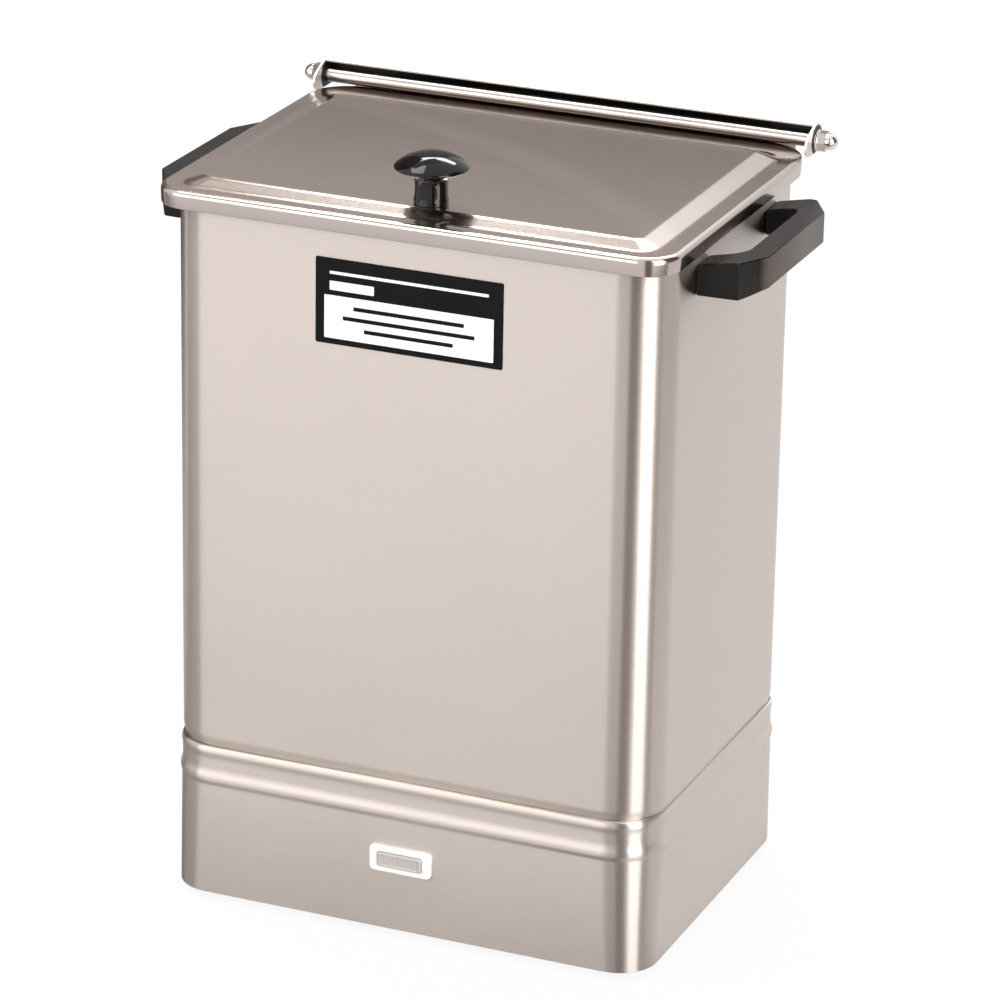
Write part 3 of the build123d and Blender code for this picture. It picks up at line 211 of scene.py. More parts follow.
def lid_painted_sheen(tree):
    """Painted sheen: lighter towards the front, with one faint painted highlight in an arc."""
    # painted reflection: the front of the lid lighter than the rear
    front = 1.0 - tree.axis("Y").between(-0.110, 0.085)
    sweep = tree.reach(tree.axis("X") + 0.24, tree.axis("Y") + 0.423) - 0.5
    painted_arc_highlight = sweep.between(-0.012, -0.002) - sweep.between(0.004, 0.020)
    return (front * 0.58 + painted_arc_highlight * 0.16) * tree.upward()


def shade_painted_sheet(name, tint, roughness):
    """Guard sheet with painted shade: dark and less metallic inside its curl."""
    tree = finish_tree(name)
    streaks = tree.noise(1.0, (16.0, 900.0, 900.0), detail=3.0)
    spread = tree.reach(tree.axis("Y") - HINGE_Y * MM, tree.axis("Z") - HINGE_Z * MM)
    # painted shade: base colour darkened inside the curl round the hinge barrel
    inside = 1.0 - (spread + (streaks - 0.5) * 0.0002).between(GUARD_IN * MM, (GUARD_IN + 0.5) * MM)
    clean = tree.blend(streaks, colour(tint, 0.92), colour(tint, 1.08))
    return tree.surface(
        Base_Color=tree.blend(inside, clean, colour((0.012, 0.009, 0.007))),
        Metallic=1.0 - inside * 0.7,
        Roughness=(streaks - 0.5) * 0.10 + roughness,
        Normal=tree.bump(streaks, 0.00001, 0.5),
    )


def barrel_steel(name, tint, roughness):
    """Drawn tube of the hinge, dull, with painted shade low down where it meets the lid."""
    tree = finish_tree(name)
    haze = tree.noise(220.0, (0.1, 1.0, 1.0), detail=3.0)
    # painted shade: the tube's lower part darkened next to the lid
    low = 1.0 - (tree.axis("Z") + (haze - 0.5) * 0.0008).between((HINGE_Z - 1.6) * MM, (HINGE_Z + 0.8) * MM)
    clean = tree.blend(haze.between(0.3, 0.7), colour(tint, 0.92), colour(tint, 1.05))
    return tree.surface(
        Base_Color=tree.blend(low, clean, colour((0.13, 0.10, 0.085))),
        Metallic=1.0,
        Roughness=(haze - 0.5) * 0.10 + roughness,
        Normal=tree.bump(haze, 0.00001, 0.3),
    )


def polished_steel(name, tint, roughness=0.13):
    """Turned or drawn bright steel."""
    tree = finish_tree(name)
    haze = tree.noise(220.0, detail=3.0)
    base = tree.blend(haze.between(0.3, 0.7), colour(tint, 0.95), colour(tint, 1.05))
    return tree.surface(
        Base_Color=base,
        Metallic=1.0,
        Roughness=(haze - 0.5) * 0.10 + roughness,
        Normal=tree.bump(haze, 0.00001, 0.3),
    )


def plated_steel(name, tint, roughness=0.38):
    """Zinc plate: dull, with a crystalline mottle."""
    tree = finish_tree(name)
    grains = tree.node(
        "ShaderNodeTexVoronoi", {}, {"Vector": tree.place(), "Scale": 700.0}, output="Color"
    )
    mottle = tree.noise(160.0, detail=4.0)
    base = tree.blend(mottle.between(0.25, 0.75), colour(tint, 0.82), colour(tint, 1.12))
    spark = tree.node("ShaderNodeSeparateColor", {}, {"Color": grains}, output=0)
    return tree.surface(
        Base_Color=base,
        Metallic=1.0,
        Roughness=(spark - 0.5) * 0.12 + roughness,
        Normal=tree.bump(mottle, 0.00003, 0.4),
    )


def soft_metal(name, tint, tarnish, roughness):
    """Brass or copper with a thin tarnish."""
    tree = finish_tree(name)
    film = tree.noise(90.0, detail=5.0, rough=0.65)
    fine = tree.noise(900.0, detail=2.0)
    base = tree.blend(film.between(0.40, 0.75), colour(tint), colour(tarnish))
    return tree.surface(
        Base_Color=base,
        Metallic=1.0,
        Roughness=film * 0.2 + (fine - 0.5) * 0.08 + roughness,
        Normal=tree.bump(fine, 0.00002, 0.4),
    )


def moulding(name, tint, roughness, depth, scale=520.0, coat=0.0, flow=0.12, shine=0.5):
    """Moulded plastic: faint flow marks and a surface taken from the mould."""
    tree = finish_tree(name)
    flowing = tree.noise(38.0, (1.0, 1.0, 2.4), detail=3.0)
    skin = tree.noise(scale, detail=3.0, rough=0.6)
    base = tree.blend(flowing.between(0.3, 0.7), colour(tint, 1.0 - flow), colour(tint, 1.0 + flow))
    return tree.surface(
        Base_Color=base,
        Roughness=(skin - 0.5) * 0.16 + (flowing - 0.5) * 0.08 + roughness,
        Specular_IOR_Level=shine,
        Coat_Weight=coat,
        Coat_Roughness=0.08,
        Normal=tree.bump(skin, depth, 0.7),
    )


def sheen_painted_grip(name, tint, painted_sheen_tint, roughness):
    """Phenolic grip: black, with a painted sheen, paler and mottled, on the outer face."""
    tree = finish_tree(name)
    facing = tree.node("ShaderNodeTexCoord", output="Normal")
    outward = tree.node("ShaderNodeSeparateXYZ", {}, {"Vector": facing}, output="X").calc("ABSOLUTE")
    mottle = tree.noise(170.0, detail=4.0, rough=0.7)
    flowing = tree.noise(38.0, (1.0, 2.4, 1.0), detail=3.0)
    chamfer = outward.between(0.50, 0.75) * mottle.between(0.45, 0.75)
    # painted sheen: outer faces, and a little of the chamfers, take the paler colour
    painted_side_sheen = outward.between(0.86, 0.98) * 0.9 + chamfer * 0.1
    base = tree.blend(flowing.between(0.3, 0.7), colour(tint, 0.7), colour(tint, 1.3))
    return tree.surface(
        Base_Color=tree.blend(painted_side_sheen, base, tree.blend(mottle, colour(painted_sheen_tint, 0.85), colour(painted_sheen_tint, 1.15))),
        Roughness=(mottle - 0.5) * 0.2 + roughness,
        Specular_IOR_Level=0.22,
        Normal=tree.bump(mottle, 0.00004, 0.6),
    )


def rubber(name, tint, roughness=0.72):
    """Matt rubber with a dusty bloom."""
    tree = finish_tree(name)
    bloom = tree.noise(140.0, detail=4.0, rough=0.7)
    fine = tree.noise(1400.0, detail=2.0)
    base = tree.blend(bloom.between(0.35, 0.8), colour(tint), colour(tint, 1.9))
    return tree.surface(
        Base_Color=base,
        Roughness=(bloom - 0.5) * 0.14 + roughness,
        Normal=tree.bump(fine * 0.6 + bloom * 0.4, 0.00006, 0.7),
    )


def scaled_sheath(name, tint, oxide):
    """Heater sheath: heat-tinted alloy with a light scale."""
    tree = finish_tree(name)
    heat = tree.noise(22.0, detail=3.0)
    scale = tree.noise(420.0, detail=5.0, rough=0.7)
    warm = tree.blend(heat.between(0.35, 0.7), colour(tint), colour(oxide))
    base = tree.blend(scale.between(0.55, 0.72), warm, colour((0.62, 0.60, 0.55)))
    return tree.surface(
        Base_Color=base,
        Metallic=1.0 - scale.between(0.55, 0.72) * 0.8,
        Roughness=scale * 0.35 + 0.30,
        Normal=tree.bump(scale, 0.00008, 0.7),
    )


def insulation(name, tint):
    """Silicone-coated glass braid of a heat-proof lead."""
    tree = finish_tree(name)
    braid = tree.node(
        "ShaderNodeTexVoronoi", {"feature": "DISTANCE_TO_EDGE"}, {"Vector": tree.place(), "Scale": 1500.0}
    )
    soil = tree.noise(70.0, detail=3.0)
    base = tree.blend(soil.between(0.4, 0.8), colour(tint), colour(tint, 0.7))
    return tree.surface(
        Base_Color=base,
        Roughness=soil * 0.2 + 0.42,
        Normal=tree.bump(braid.between(0.0, 0.2), 0.00006, 0.8),
    )


def frosted_lens(name, tint):
    """Frosted lamp lens: paler where the plastic is thick, over fine lines moulded inside."""
    tree = finish_tree(name)
    where = tree.node("ShaderNodeSeparateXYZ", {}, {"Vector": tree.place()}, output="X")
    cells = where.calc("MULTIPLY", 2200.0).calc("SINE") * 0.5 + 0.5
    haze = tree.noise(120.0, detail=3.0)
    base = tree.blend(haze * 0.6 + cells * 0.25, colour(tint, 0.88), colour(tint, 1.12))
    return tree.surface(
        Base_Color=base,
        Roughness=haze * 0.12 + 0.16,
        Coat_Weight=0.6,
        Coat_Roughness=0.05,
        Normal=tree.bump(cells, 0.00002, 0.35),
    )


def enamel(name, tint, roughness=0.22, shine=0.5):
    """Printed or painted face with slight orange peel."""
    tree = finish_tree(name)
    peel = tree.noise(380.0, detail=2.0)
    tone = tree.noise(30.0, detail=2.0)
    base = tree.blend(tone.between(0.3, 0.7), colour(tint, 0.93), colour(tint, 1.07))
    return tree.surface(
        Base_Color=base,
        Roughness=(peel - 0.5) * 0.10 + roughness,
        Specular_IOR_Level=shine,
        Normal=tree.bump(peel, 0.00003, 0.35),
    )


# ---------------------------------------------------------------- mesh tools
def new_piece(name, mesh, body, finish, smooth=True, replaced=()):
    """Puts a mesh in the scene as a piece that rides on a body."""
    piece = bpy.data.objects.new(name, mesh)
    bpy.context.scene.collection.objects.link(piece)
    mesh.materials.append(finish)
    for face in mesh.polygons:
        face.use_smooth = smooth
    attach(piece, body)
    if replaced:
        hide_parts(*replaced)
    return piece


def dress(finish, *nodes):
    """Gives a finish to solids that keep their own shape."""
    for name in nodes:
        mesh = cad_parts[name].data
        mesh.materials.clear()
        mesh.materials.append(finish)


def outline(half_x, front, rear, front_r, rear_r, steps=10, extra=()):
    """Rounded rectangle as points that run anticlockwise from the right side's middle."""
    turn = [90.0 * step / steps for step in range(steps + 1)]
    rear_turn = sorted(set(turn) | set(extra))
    left_turn = [90.0 - angle for angle in reversed(rear_turn)]
    points = []
    for centre_x, centre_y, radius, start, angles in (
        (half_x - rear_r, rear - rear_r, rear_r, 0, rear_turn),
        (-half_x + rear_r, rear - rear_r, rear_r, 90, left_turn),
        (-half_x + front_r, front + front_r, front_r, 180, turn),
        (half_x - front_r, front + front_r, front_r, 270, turn),
    ):
        for angle in angles:
            bearing = radians(start + angle)
            points.append((centre_x + radius * cos(bearing), centre_y + radius * sin(bearing)))
    return points


def wall_ring(half_x, half_y, radius, inset, z, steps=10):
    """Rounded rectangle drawn in by inset, at height z."""
    bend = max(radius - inset, 0.4)
    flat = outline(half_x - inset, -half_y + inset, half_y - inset, bend, bend, steps)
    return [Vector((x, y, z)) for x, y in flat]


def disc_ring(radius, z, count=64, centre=(0.0, 0.0)):
    """Circle at height z."""
    turns = [2 * pi * i / count for i in range(count)]
    return [Vector((centre[0] + radius * cos(turn), centre[1] + radius * sin(turn), z)) for turn in turns]


def softened(points, radii, steps):
    """Polyline whose corners are rounded; the count depends on the radii alone."""
    result = []
    last = len(points) - 1
    for index, (point, radius) in enumerate(zip(points, radii)):
        if radius == 0 or index in (0, last):
            result.append(point)
            continue
        back = points[index - 1] - point
        ahead = points[index + 1] - point
        start = point + back.normalized() * min(radius, back.length * 0.48)
        end = point + ahead.normalized() * min(radius, ahead.length * 0.48)
        for step in range(steps + 1):
            share = step / steps
            result.append(start.lerp(point, share).lerp(point.lerp(end, share), share))
    return result


def skin(name, rings, steps=4, caps=True, loop=False):
    """Mesh through rings of equal count, given as (points in millimetres, rounding radius)."""
    count = len(rings[0][0])
    radii = [radius for ring, radius in rings]
    columns = [softened([ring[i] for ring, radius in rings], radii, steps) for i in range(count)]
    rows = len(columns[0])
    work = bmesh.new()
    grid = [[work.verts.new(columns[i][row] * MM) for i in range(count)] for row in range(rows)]
    for row in range(rows if loop else rows - 1):
        above = grid[(row + 1) % rows]
        for i in range(count):
            after = (i + 1) % count
            work.faces.new((grid[row][i], grid[row][after], above[after], above[i]))
    if caps and not loop:
        work.faces.new(list(reversed(grid[0])))
        work.faces.new(grid[-1])
    return meshed(name, work)


def meshed(name, work, merge=0.000002):
    """Turns edited geometry into a mesh with outward faces."""
    bmesh.ops.remove_doubles(work, verts=work.verts, dist=merge)
    bmesh.ops.recalc_face_normals(work, faces=work.faces)
    mesh = bpy.data.meshes.new(name)
    work.to_mesh(mesh)
    work.free()
    return mesh


def shrunk(ring, share, z=None):
    """Ring drawn towards its middle, for the centre of a flat face."""
    middle = sum(ring, Vector()) / len(ring)
    drawn = [middle.lerp(point, share) for point in ring]
    if z is not None:
        drawn = [Vector((point.x, point.y, z)) for point in drawn]
    return drawn


def bevelled(piece, width, segments=3, angle=30.0):
    """Rounds a piece's edges and keeps the result as its mesh."""
    bevel = piece.modifiers.new("edge", "BEVEL")
    bevel.width = width
    bevel.segments = segments
    bevel.limit_method = "ANGLE"
    bevel.angle_limit = radians(angle)
    bevel.harden_normals = True
    shown = piece.evaluated_get(bpy.context.evaluated_depsgraph_get())
    mesh = bpy.data.meshes.new_from_object(shown)
    piece.modifiers.clear()
    piece.data = mesh
    return piece


# ---------------------------------------------------------------- settings
class HeaterSizes(bpy.types.PropertyGroup):
    """Sizes of the details that the solids leave plain."""

    panel_crease: bpy.props.FloatProperty(
        name="Panel crease", description="Radius of the bends round the lid's raised panel",
        default=0.0028, subtype="DISTANCE", unit="LENGTH",
    )
    handle_edge: bpy.props.FloatProperty(
        name="Handle edge", description="Rounding of the moulded handles' edges",
        default=0.0011, subtype="DISTANCE", unit="LENGTH",
    )
    lens_proud: bpy.props.FloatProperty(
        name="Lens height", description="How far the lamp's lens stands out of the skirt",
        default=0.0036, subtype="DISTANCE", unit="LENGTH",
    )


class HeaterColours(bpy.types.PropertyGroup):
    """Colours of the main finishes."""

    steel: bpy.props.FloatVectorProperty(
        name="Steel", description="Brushed stainless sheet", subtype="COLOR", size=3,
        min=0.0, max=1.0, default=(0.66, 0.585, 0.535),
    )
    phenolic: bpy.props.FloatVectorProperty(
        name="Phenolic", description="Black moulding of the handles", subtype="COLOR", size=3,
        min=0.0, max=1.0, default=(0.006, 0.005, 0.004),
    )
    white: bpy.props.FloatVectorProperty(
        name="White", description="Lamp bezel and printed fields", subtype="COLOR", size=3,
        min=0.0, max=1.0, default=(0.86, 0.85, 0.83),
    )
    backdrop: bpy.props.FloatVectorProperty(
        name="Backdrop", description="Floor and surroundings", subtype="COLOR", size=3,
        min=0.0, max=1.0, default=(1.0, 1.0, 1.0),
    )


finish_store = {}


def finishes():
    """Finishes by name, made once from the colours in the settings."""
    if "kept" not in finish_store:
        tint = bpy.context.scene.heater_colours
        steel = tuple(tint.steel)
        dull = tuple(channel * 0.80 for channel in steel)
        black = tuple(tint.phenolic)
        white = tuple(tint.white)
        finish_store["kept"] = {
            "wall": sheet_steel("brushed_wall", (14.0, 14.0, 1900.0), steel, 0.35, 1.0, 0.25),
            # the lid takes a painted sheen and a painted arc highlight
            "lid": sheet_steel(
                "brushed_lid", (16.0, 1700.0, 16.0), dull, 0.16, 0.0, 0.0, (16.0, 16.0, 1700.0), lid_painted_sheen
            ),
            # guard and barrel carry painted shade near the hinge
            "guard": shade_painted_sheet("guard_sheet", (0.84, 0.78, 0.74), 0.50),
            "barrel": barrel_steel("barrel_steel", (0.62, 0.57, 0.54), 0.24),
            "bright": polished_steel("bright_steel", (0.80, 0.76, 0.73)),
            "wire": polished_steel("drawn_wire", (0.74, 0.72, 0.70), 0.20),
            "zinc": plated_steel("zinc_plate", (0.60, 0.60, 0.60)),
            "cover": plated_steel("galvanised_cover", (0.55, 0.55, 0.56), 0.44),
            "knob": moulding("gloss_phenolic", (0.003, 0.002, 0.002), 0.08, 0.000004, shine=0.4),
            # paler brown tint: painted sheen on the handles' outer faces
            "handle": sheen_painted_grip("satin_phenolic", black, (0.085, 0.066, 0.056), 0.36),
            "foot": rubber("foot_rubber", (0.022, 0.021, 0.021)),
            "seal": rubber("seal_rubber", (0.08, 0.07, 0.065), 0.62),
            "plate": enamel("black_print", (0.004, 0.004, 0.004), 0.34, 0.12),
            "field": enamel("white_print", white, 0.34),
            "bezel": moulding("white_moulding", white, 0.20, 0.000008, 300.0, coat=0.4, flow=0.03),
            "lens": frosted_lens("frosted_lens", (0.46, 0.42, 0.39)),
            "moulded": moulding("black_moulding", (0.020, 0.020, 0.020), 0.48, 0.00004),
            "block": moulding("block_moulding", (0.78, 0.77, 0.72), 0.45, 0.00003, flow=0.05),
            "sheath": scaled_sheath("element_sheath", (0.30, 0.29, 0.28), (0.26, 0.20, 0.14)),
            "brass": soft_metal("brass", (0.74, 0.56, 0.28), (0.48, 0.34, 0.16), 0.22),
            "copper": soft_metal("copper", (0.78, 0.43, 0.29), (0.42, 0.20, 0.12), 0.24),
            "red": insulation("red_lead", (0.50, 0.04, 0.03)),
            "pale": insulation("pale_lead", (0.78, 0.77, 0.73)),
            "green": insulation("green_lead", (0.08, 0.32, 0.09)),
        }
    return finish_store["kept"]


# ---------------------------------------------------------------- sizes, in millimetres
# tank: half width and depth, corners and sheet; rolled rim; tapered foot; floor
HALF_W, HALF_D, CORNER_R, SHEET = 139.9, 103.9, 27.0, 1.0
RIM_Z, BEAD_OUT, BEAD_H = 402.5, 2.5, 5.0
SEAM_Z, TAPER_IN, SPIGOT_H = 90.5, 2.2, 12.0
TAPER_OVER, TAPER_UNDER = 4.5, 2.5
FLOOR_Z, FLOOR_T = 104.0, 1.2
# base: half width and depth; its wall draws in towards the lower edge, which is turned inwards
BASE_W, BASE_D = 140.3, 105.5
FOOT_R, FOOT_IN, FOOT_Z, WALL_TOP = 22.0, 1.0, 4.0, 67.0
TURN_Z, TURN_W = 6.0, 12.0
# lid: half width, front and rear edges; heights of the flange, the raised panel and the skirt's edge
LID_W, LID_FRONT, LID_REAR = 144.7, -111.5, 108.5
FLANGE_Z, PANEL_Z, SKIRT_Z = 404.0, 408.0, 394.2
# hinge axis and the inner radius of the guard's curl; knob; lamp
HINGE_Y, HINGE_Z, GUARD_IN = 107.5, 408.2, 8.0
KNOB_X, KNOB_Y = 3.5, -83.5
LAMP_Z = 45.4
# share of a ring's size at which the centre of a flat face is closed
HUB = 0.03

# ---------------------------------------------------------------- stage, in metres and pixels
AIM = Vector((0.0, 0.0, 0.22))
FLOOR_SPAN, FRAME_PX, FOCAL_PX, SENSOR_MM, FAR_CLIP = 12.0, 1000.0, 4991.82, 36.0, 60.0


# ---------------------------------------------------------------- pieces
class HEATER_OT_tank(bpy.types.Operator):
    """Drawn tank with its rolled rim, tapered foot and floor"""

    bl_idname = "heater.tank"
    bl_label = "Tank"

    def execute(self, context):
        def at(inset, z):
            return wall_ring(HALF_W, HALF_D, CORNER_R, inset, z)

        floor = at(SHEET, FLOOR_Z)
        under = at(SHEET, FLOOR_Z - FLOOR_T)
        rings = [
            (shrunk(floor, HUB), 0),
            (floor, 3.0),
            (at(SHEET, RIM_Z), 0.9),
            (at(-BEAD_OUT, RIM_Z), 1.3),
            (at(-BEAD_OUT, RIM_Z - BEAD_H), 1.3),
            (at(0, RIM_Z - BEAD_H), 0.4),
            (at(0, SEAM_Z + TAPER_OVER), 1.6),
            (at(1.2, SEAM_Z + 0.2), 1.0),
            (at(TAPER_IN, SEAM_Z - TAPER_UNDER), 1.0),
            (at(TAPER_IN, SEAM_Z - SPIGOT_H), 0.3),
            (at(TAPER_IN + SHEET, SEAM_Z - SPIGOT_H), 0.3),
            (at(TAPER_IN + SHEET, SEAM_Z - TAPER_UNDER), 1.0),
            (at(SHEET, SEAM_Z + TAPER_OVER), 1.0),
            (under, 1.0),
            (shrunk(under, HUB), 0),
        ]
        mesh = skin("tank_drawn", rings)
        new_piece("tank_drawn", mesh, CABINET, finishes()["wall"], replaced=["tank_shell"])
        return {"FINISHED"}


class HEATER_OT_skirt(bpy.types.Operator):
    """Skirt of the base with its rolled lip, hollow band and bulge"""

    bl_idname = "heater.skirt"
    bl_label = "Skirt"

    def execute(self, context):
        def at(inset, z):
            share = max(0.0, (WALL_TOP - z) / (WALL_TOP - FOOT_Z))
            bend = CORNER_R + (FOOT_R - CORNER_R) * share
            return wall_ring(BASE_W - FOOT_IN * share, BASE_D, bend, inset, z)

        lip = [(3.0, 90.2, 0.1), (1.5, 90.4, 0.3), (0.6, 90.0, 0.8), (0.0, 88.2, 0.9)]
        band = [(-0.1, 86.6, 1.0), (0.45, 84.2, 1.6), (0.45, 76.6, 1.8)]
        bulge = [(-0.75, 73.0, 1.2), (-0.8, 70.6, 0.8), (0.0, 68.4, 0.7)]
        inside = [(SHEET, 70.0, 0.5), (1.6, 77.5, 0.5), (1.6, 88.5, 0.5), (3.0, 88.5, 0.2)]
        rings = [(at(inset, z), bend) for inset, z, bend in lip + band + bulge]
        rings += [
            (at(0, WALL_TOP), 0),
            (at(0, FOOT_Z), 0.3),
            (at(SHEET, FOOT_Z), 0.3),
            (at(SHEET, TURN_Z), 0.5),
            (at(TURN_W, TURN_Z), 0.2),
            (at(TURN_W, TURN_Z + SHEET), 0.2),
            (at(SHEET, TURN_Z + SHEET), 0.8),
            (at(SHEET, WALL_TOP), 0),
        ]
        rings += [(at(inset, z), bend) for inset, z, bend in inside]
        mesh = skin("skirt_drawn", rings, loop=True)
        new_piece("skirt_drawn", mesh, CABINET, finishes()["wall"], replaced=["base_skirt"])
        return {"FINISHED"}


class HEATER_OT_lid(bpy.types.Operator):
    """Pressed lid: rolled edge, flat flange and a raised panel with soft creases"""

    bl_idname = "heater.lid"
    bl_label = "Lid"

    def execute(self, context):
        crease = context.scene.heater_sizes.panel_crease / MM
        front_r, rear_r = 19.0, 28.0
        end_y, end_r, rear_hem, flat_in = 91.5, 8.0, 1.6, 6.6
        marks = (83.5, 85.0, 86.5, 88.0, 89.3, 90.3, 91.0, 91.35, 91.5, 91.52)
        extra = [asin((y - (LID_REAR - rear_r)) / rear_r) * 180 / pi for y in marks]

        def plan(half_x, front, rear, near_r, far_r, z):
            flat = outline(half_x, front, rear, near_r, far_r, 12, extra)
            return [Vector((x, y, z)) for x, y in flat]

        def edge(inset, z):
            half, front, rear = LID_W - inset, LID_FRONT + inset, LID_REAR - inset
            return plan(half, front, rear, front_r - inset, rear_r - inset, z)

        def hem(inset):
            """Lower edge of the skirt: it rises to the flange in a quarter circle near the hinge."""
            ring = []
            for outer, point in zip(edge(0, 0), edge(inset, 0)):
                over = outer.y - (end_y - end_r)
                if outer.y > end_y + 0.01:
                    height = FLANGE_Z - rear_hem
                elif over > 0:
                    height = SKIRT_Z + end_r - (end_r**2 - min(over, end_r) ** 2) ** 0.5
                else:
                    height = SKIRT_Z
                ring.append(Vector((point.x, point.y, height)))
            return ring

        def foot(inset, z):
            return plan(133.5 - inset, -102.0 + inset, 87.0 - inset, 12.0 - inset, 12.0 - inset, z)

        def top(inset, z):
            return plan(121.8 - inset, -93.0 + inset, 78.0 - inset, 6.0, 6.0, z)

        inner_top = top(0.6, PANEL_Z - SHEET)
        outer_top = top(0, PANEL_Z)
        rings = [
            (shrunk(inner_top, HUB), 0),
            (top(flat_in, PANEL_Z - SHEET), 0),
            (inner_top, crease),
            (foot(0.6, FLANGE_Z - SHEET), crease),
            (edge(1.0, FLANGE_Z - SHEET), 2.8),
            (hem(1.4), 0.1),
            (hem(0.4), 0.3),
            (edge(0, FLANGE_Z), 3.8),
            (foot(0, FLANGE_Z), crease),
            (outer_top, crease),
            (top(flat_in, PANEL_Z), 0),
            (shrunk(outer_top, HUB), 0),
        ]
        mesh = skin("lid_pressed", rings, 8)
        new_piece("lid_pressed", mesh, LID, finishes()["lid"], replaced=["lid"])
        return {"FINISHED"}


class HEATER_OT_knob(bpy.types.Operator):
    """Turned mushroom knob with its collar"""

    bl_idname = "heater.knob"
    bl_label = "Knob"

    def execute(self, context):
        centre = (KNOB_X, KNOB_Y)
        collar = [(0.4, 0.0, 0), (9.1, 0.0, 0.5), (9.3, 2.5, 0.5), (9.0, 3.0, 0.3), (8.8, 3.4, 0.6)]
        stem = [(8.6, 8.0, 3.0), (8.7, 11.8, 3.0), (9.9, 14.9, 2.4)]
        cap = [(13.6, 17.2, 3.0), (18.7, 18.4, 1.2), (19.8, 19.4, 0.8), (18.9, 20.7, 1.4)]
        crown = [(14.8, 23.9, 4.0), (8.2, 26.5, 4.0), (3.0, 27.15, 2.0), (0.4, 27.2, 0)]
        profile = collar + stem + cap + crown
        rings = [(disc_ring(radius, PANEL_Z + z, 96, centre), bend) for radius, z, bend in profile]
        mesh = skin("knob_turned", rings, 6)
        new_piece("knob_turned", mesh, LID, finishes()["knob"], replaced=["lid_knob"])
        return {"FINISHED"}


class HEATER_OT_handles(bpy.types.Operator):
    """Two moulded handles with chamfered corners and rounded edges"""

    bl_idname = "heater.handles"
    bl_label = "Handles"

    def execute(self, context):
        width = context.scene.heater_sizes.handle_edge
        mid, wall, vertex, out = 2.0, HALF_W, 162.4, 172.6
        half, grip, inner, leg_in, bend_r = 60.5, 41.5, 159.6, 41.5, 8.0
        top, under, slope_x, slope_drop = 390.5, 370.0, 158.4, 4.0
        rise_y, rise_run, rise = 57.5, 16.0, 3.0
        turn = [radians(90.0 * step / 6) for step in range(7)]
        bend = [(inner - bend_r + bend_r * sin(a), leg_in - bend_r + bend_r * cos(a)) for a in turn]
        leg = [(151.6, half - 0.5), (155.0, half - 0.7), (slope_x, half - 0.85), (vertex, half - 1.0)]
        outer = leg + [(165.8, half - 7.0), (169.2, half - 13.0), (out, grip)]
        pairs = [((wall, half), (wall, leg_in))] + list(zip(outer, bend))
        pairs = [((ox, mid - oy), (ix, mid - iy)) for (ox, oy), (ix, iy) in pairs]
        pairs += [((out, mid), (inner, mid))]
        pairs += [((ox, 2 * mid - oy), (ix, 2 * mid - iy)) for (ox, oy), (ix, iy) in reversed(pairs[:-1])]

        def top_z(x):
            return top - slope_drop * max(0.0, min(1.0, (slope_x - x) / (slope_x - wall)))

        def low_z(y):
            return under + rise * max(0.0, min(1.0, (rise_y - abs(y - mid)) / rise_run))

        for side, label, node in ((-1, "left", "handle_left"), (1, "right", "handle_right")):
            work = bmesh.new()
            rows = []
            for (ox, oy), (ix, iy) in pairs:
                corners = ((ox, oy, top_z(ox)), (ix, iy, top_z(ix)), (ix, iy, low_z(iy)), (ox, oy, low_z(oy)))
                rows.append([work.verts.new((side * x * MM, y * MM, z * MM)) for x, y, z in corners])
            for first, second in zip(rows, rows[1:]):
                for i in range(4):
                    work.faces.new((first[i], first[(i + 1) % 4], second[(i + 1) % 4], second[i]))
            work.faces.new(rows[0])
            work.faces.new(list(reversed(rows[-1])))
            name = "handle_moulded_" + label
            mesh = meshed(name, work)
            grip_finish = finishes()["handle"]
            bevelled(new_piece(name, mesh, CABINET, grip_finish, replaced=[node]), width)
        return {"FINISHED"}


class HEATER_OT_plate(bpy.types.Operator):
    """Blank printed plate: a black ground with a pale rule and plain pale fields"""

    bl_idname = "heater.plate"
    bl_label = "Plate"

    def execute(self, context):
        low, high = (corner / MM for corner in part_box("front_plate"))
        mid_x, mid_z = (low.x + high.x) / 2, (low.z + high.z) / 2
        face = low.y

        def pad(centre_x, centre_z, width, height, radius, back, proud):
            flat = outline(width / 2, -height / 2, height / 2, radius, radius, 4)
            stand = [[Vector((centre_x + x, y, centre_z + z)) for x, z in flat] for y in (back, proud)]
            return [(stand[0], 0), (stand[1], 0.05), (shrunk(stand[1], 0.5), 0)]

        ground = pad(mid_x, mid_z, high.x - low.x, high.z - low.z, 1.0, high.y, face)
        mesh = skin("plate_ground", ground)
        new_piece("plate_ground", mesh, CABINET, finishes()["plate"], False, ["front_plate"])
        for name, x, z, width, height in (
            ("plate_rule", 0.0, 15.6, 89.0, 1.6),
            ("plate_bar", -32.0, 8.6, 25.0, 5.0),
            ("plate_field", 0.0, -8.4, 95.0, 23.4),
        ):
            mesh = skin(name, pad(mid_x + x, mid_z + z, width, height, 0.5, face + 0.05, face - 0.02))
            new_piece(name, mesh, CABINET, finishes()["field"], False)
        for row, width in enumerate((62.0, 74.0, 50.0)):
            name = "plate_line_" + str(row + 1)
            z = mid_z - 2.6 - 5.8 * row
            mesh = skin(name, pad(mid_x, z, width, 2.2, 0.4, face + 0.03, face - 0.04))
            new_piece(name, mesh, CABINET, finishes()["plate"], False)
        return {"FINISHED"}


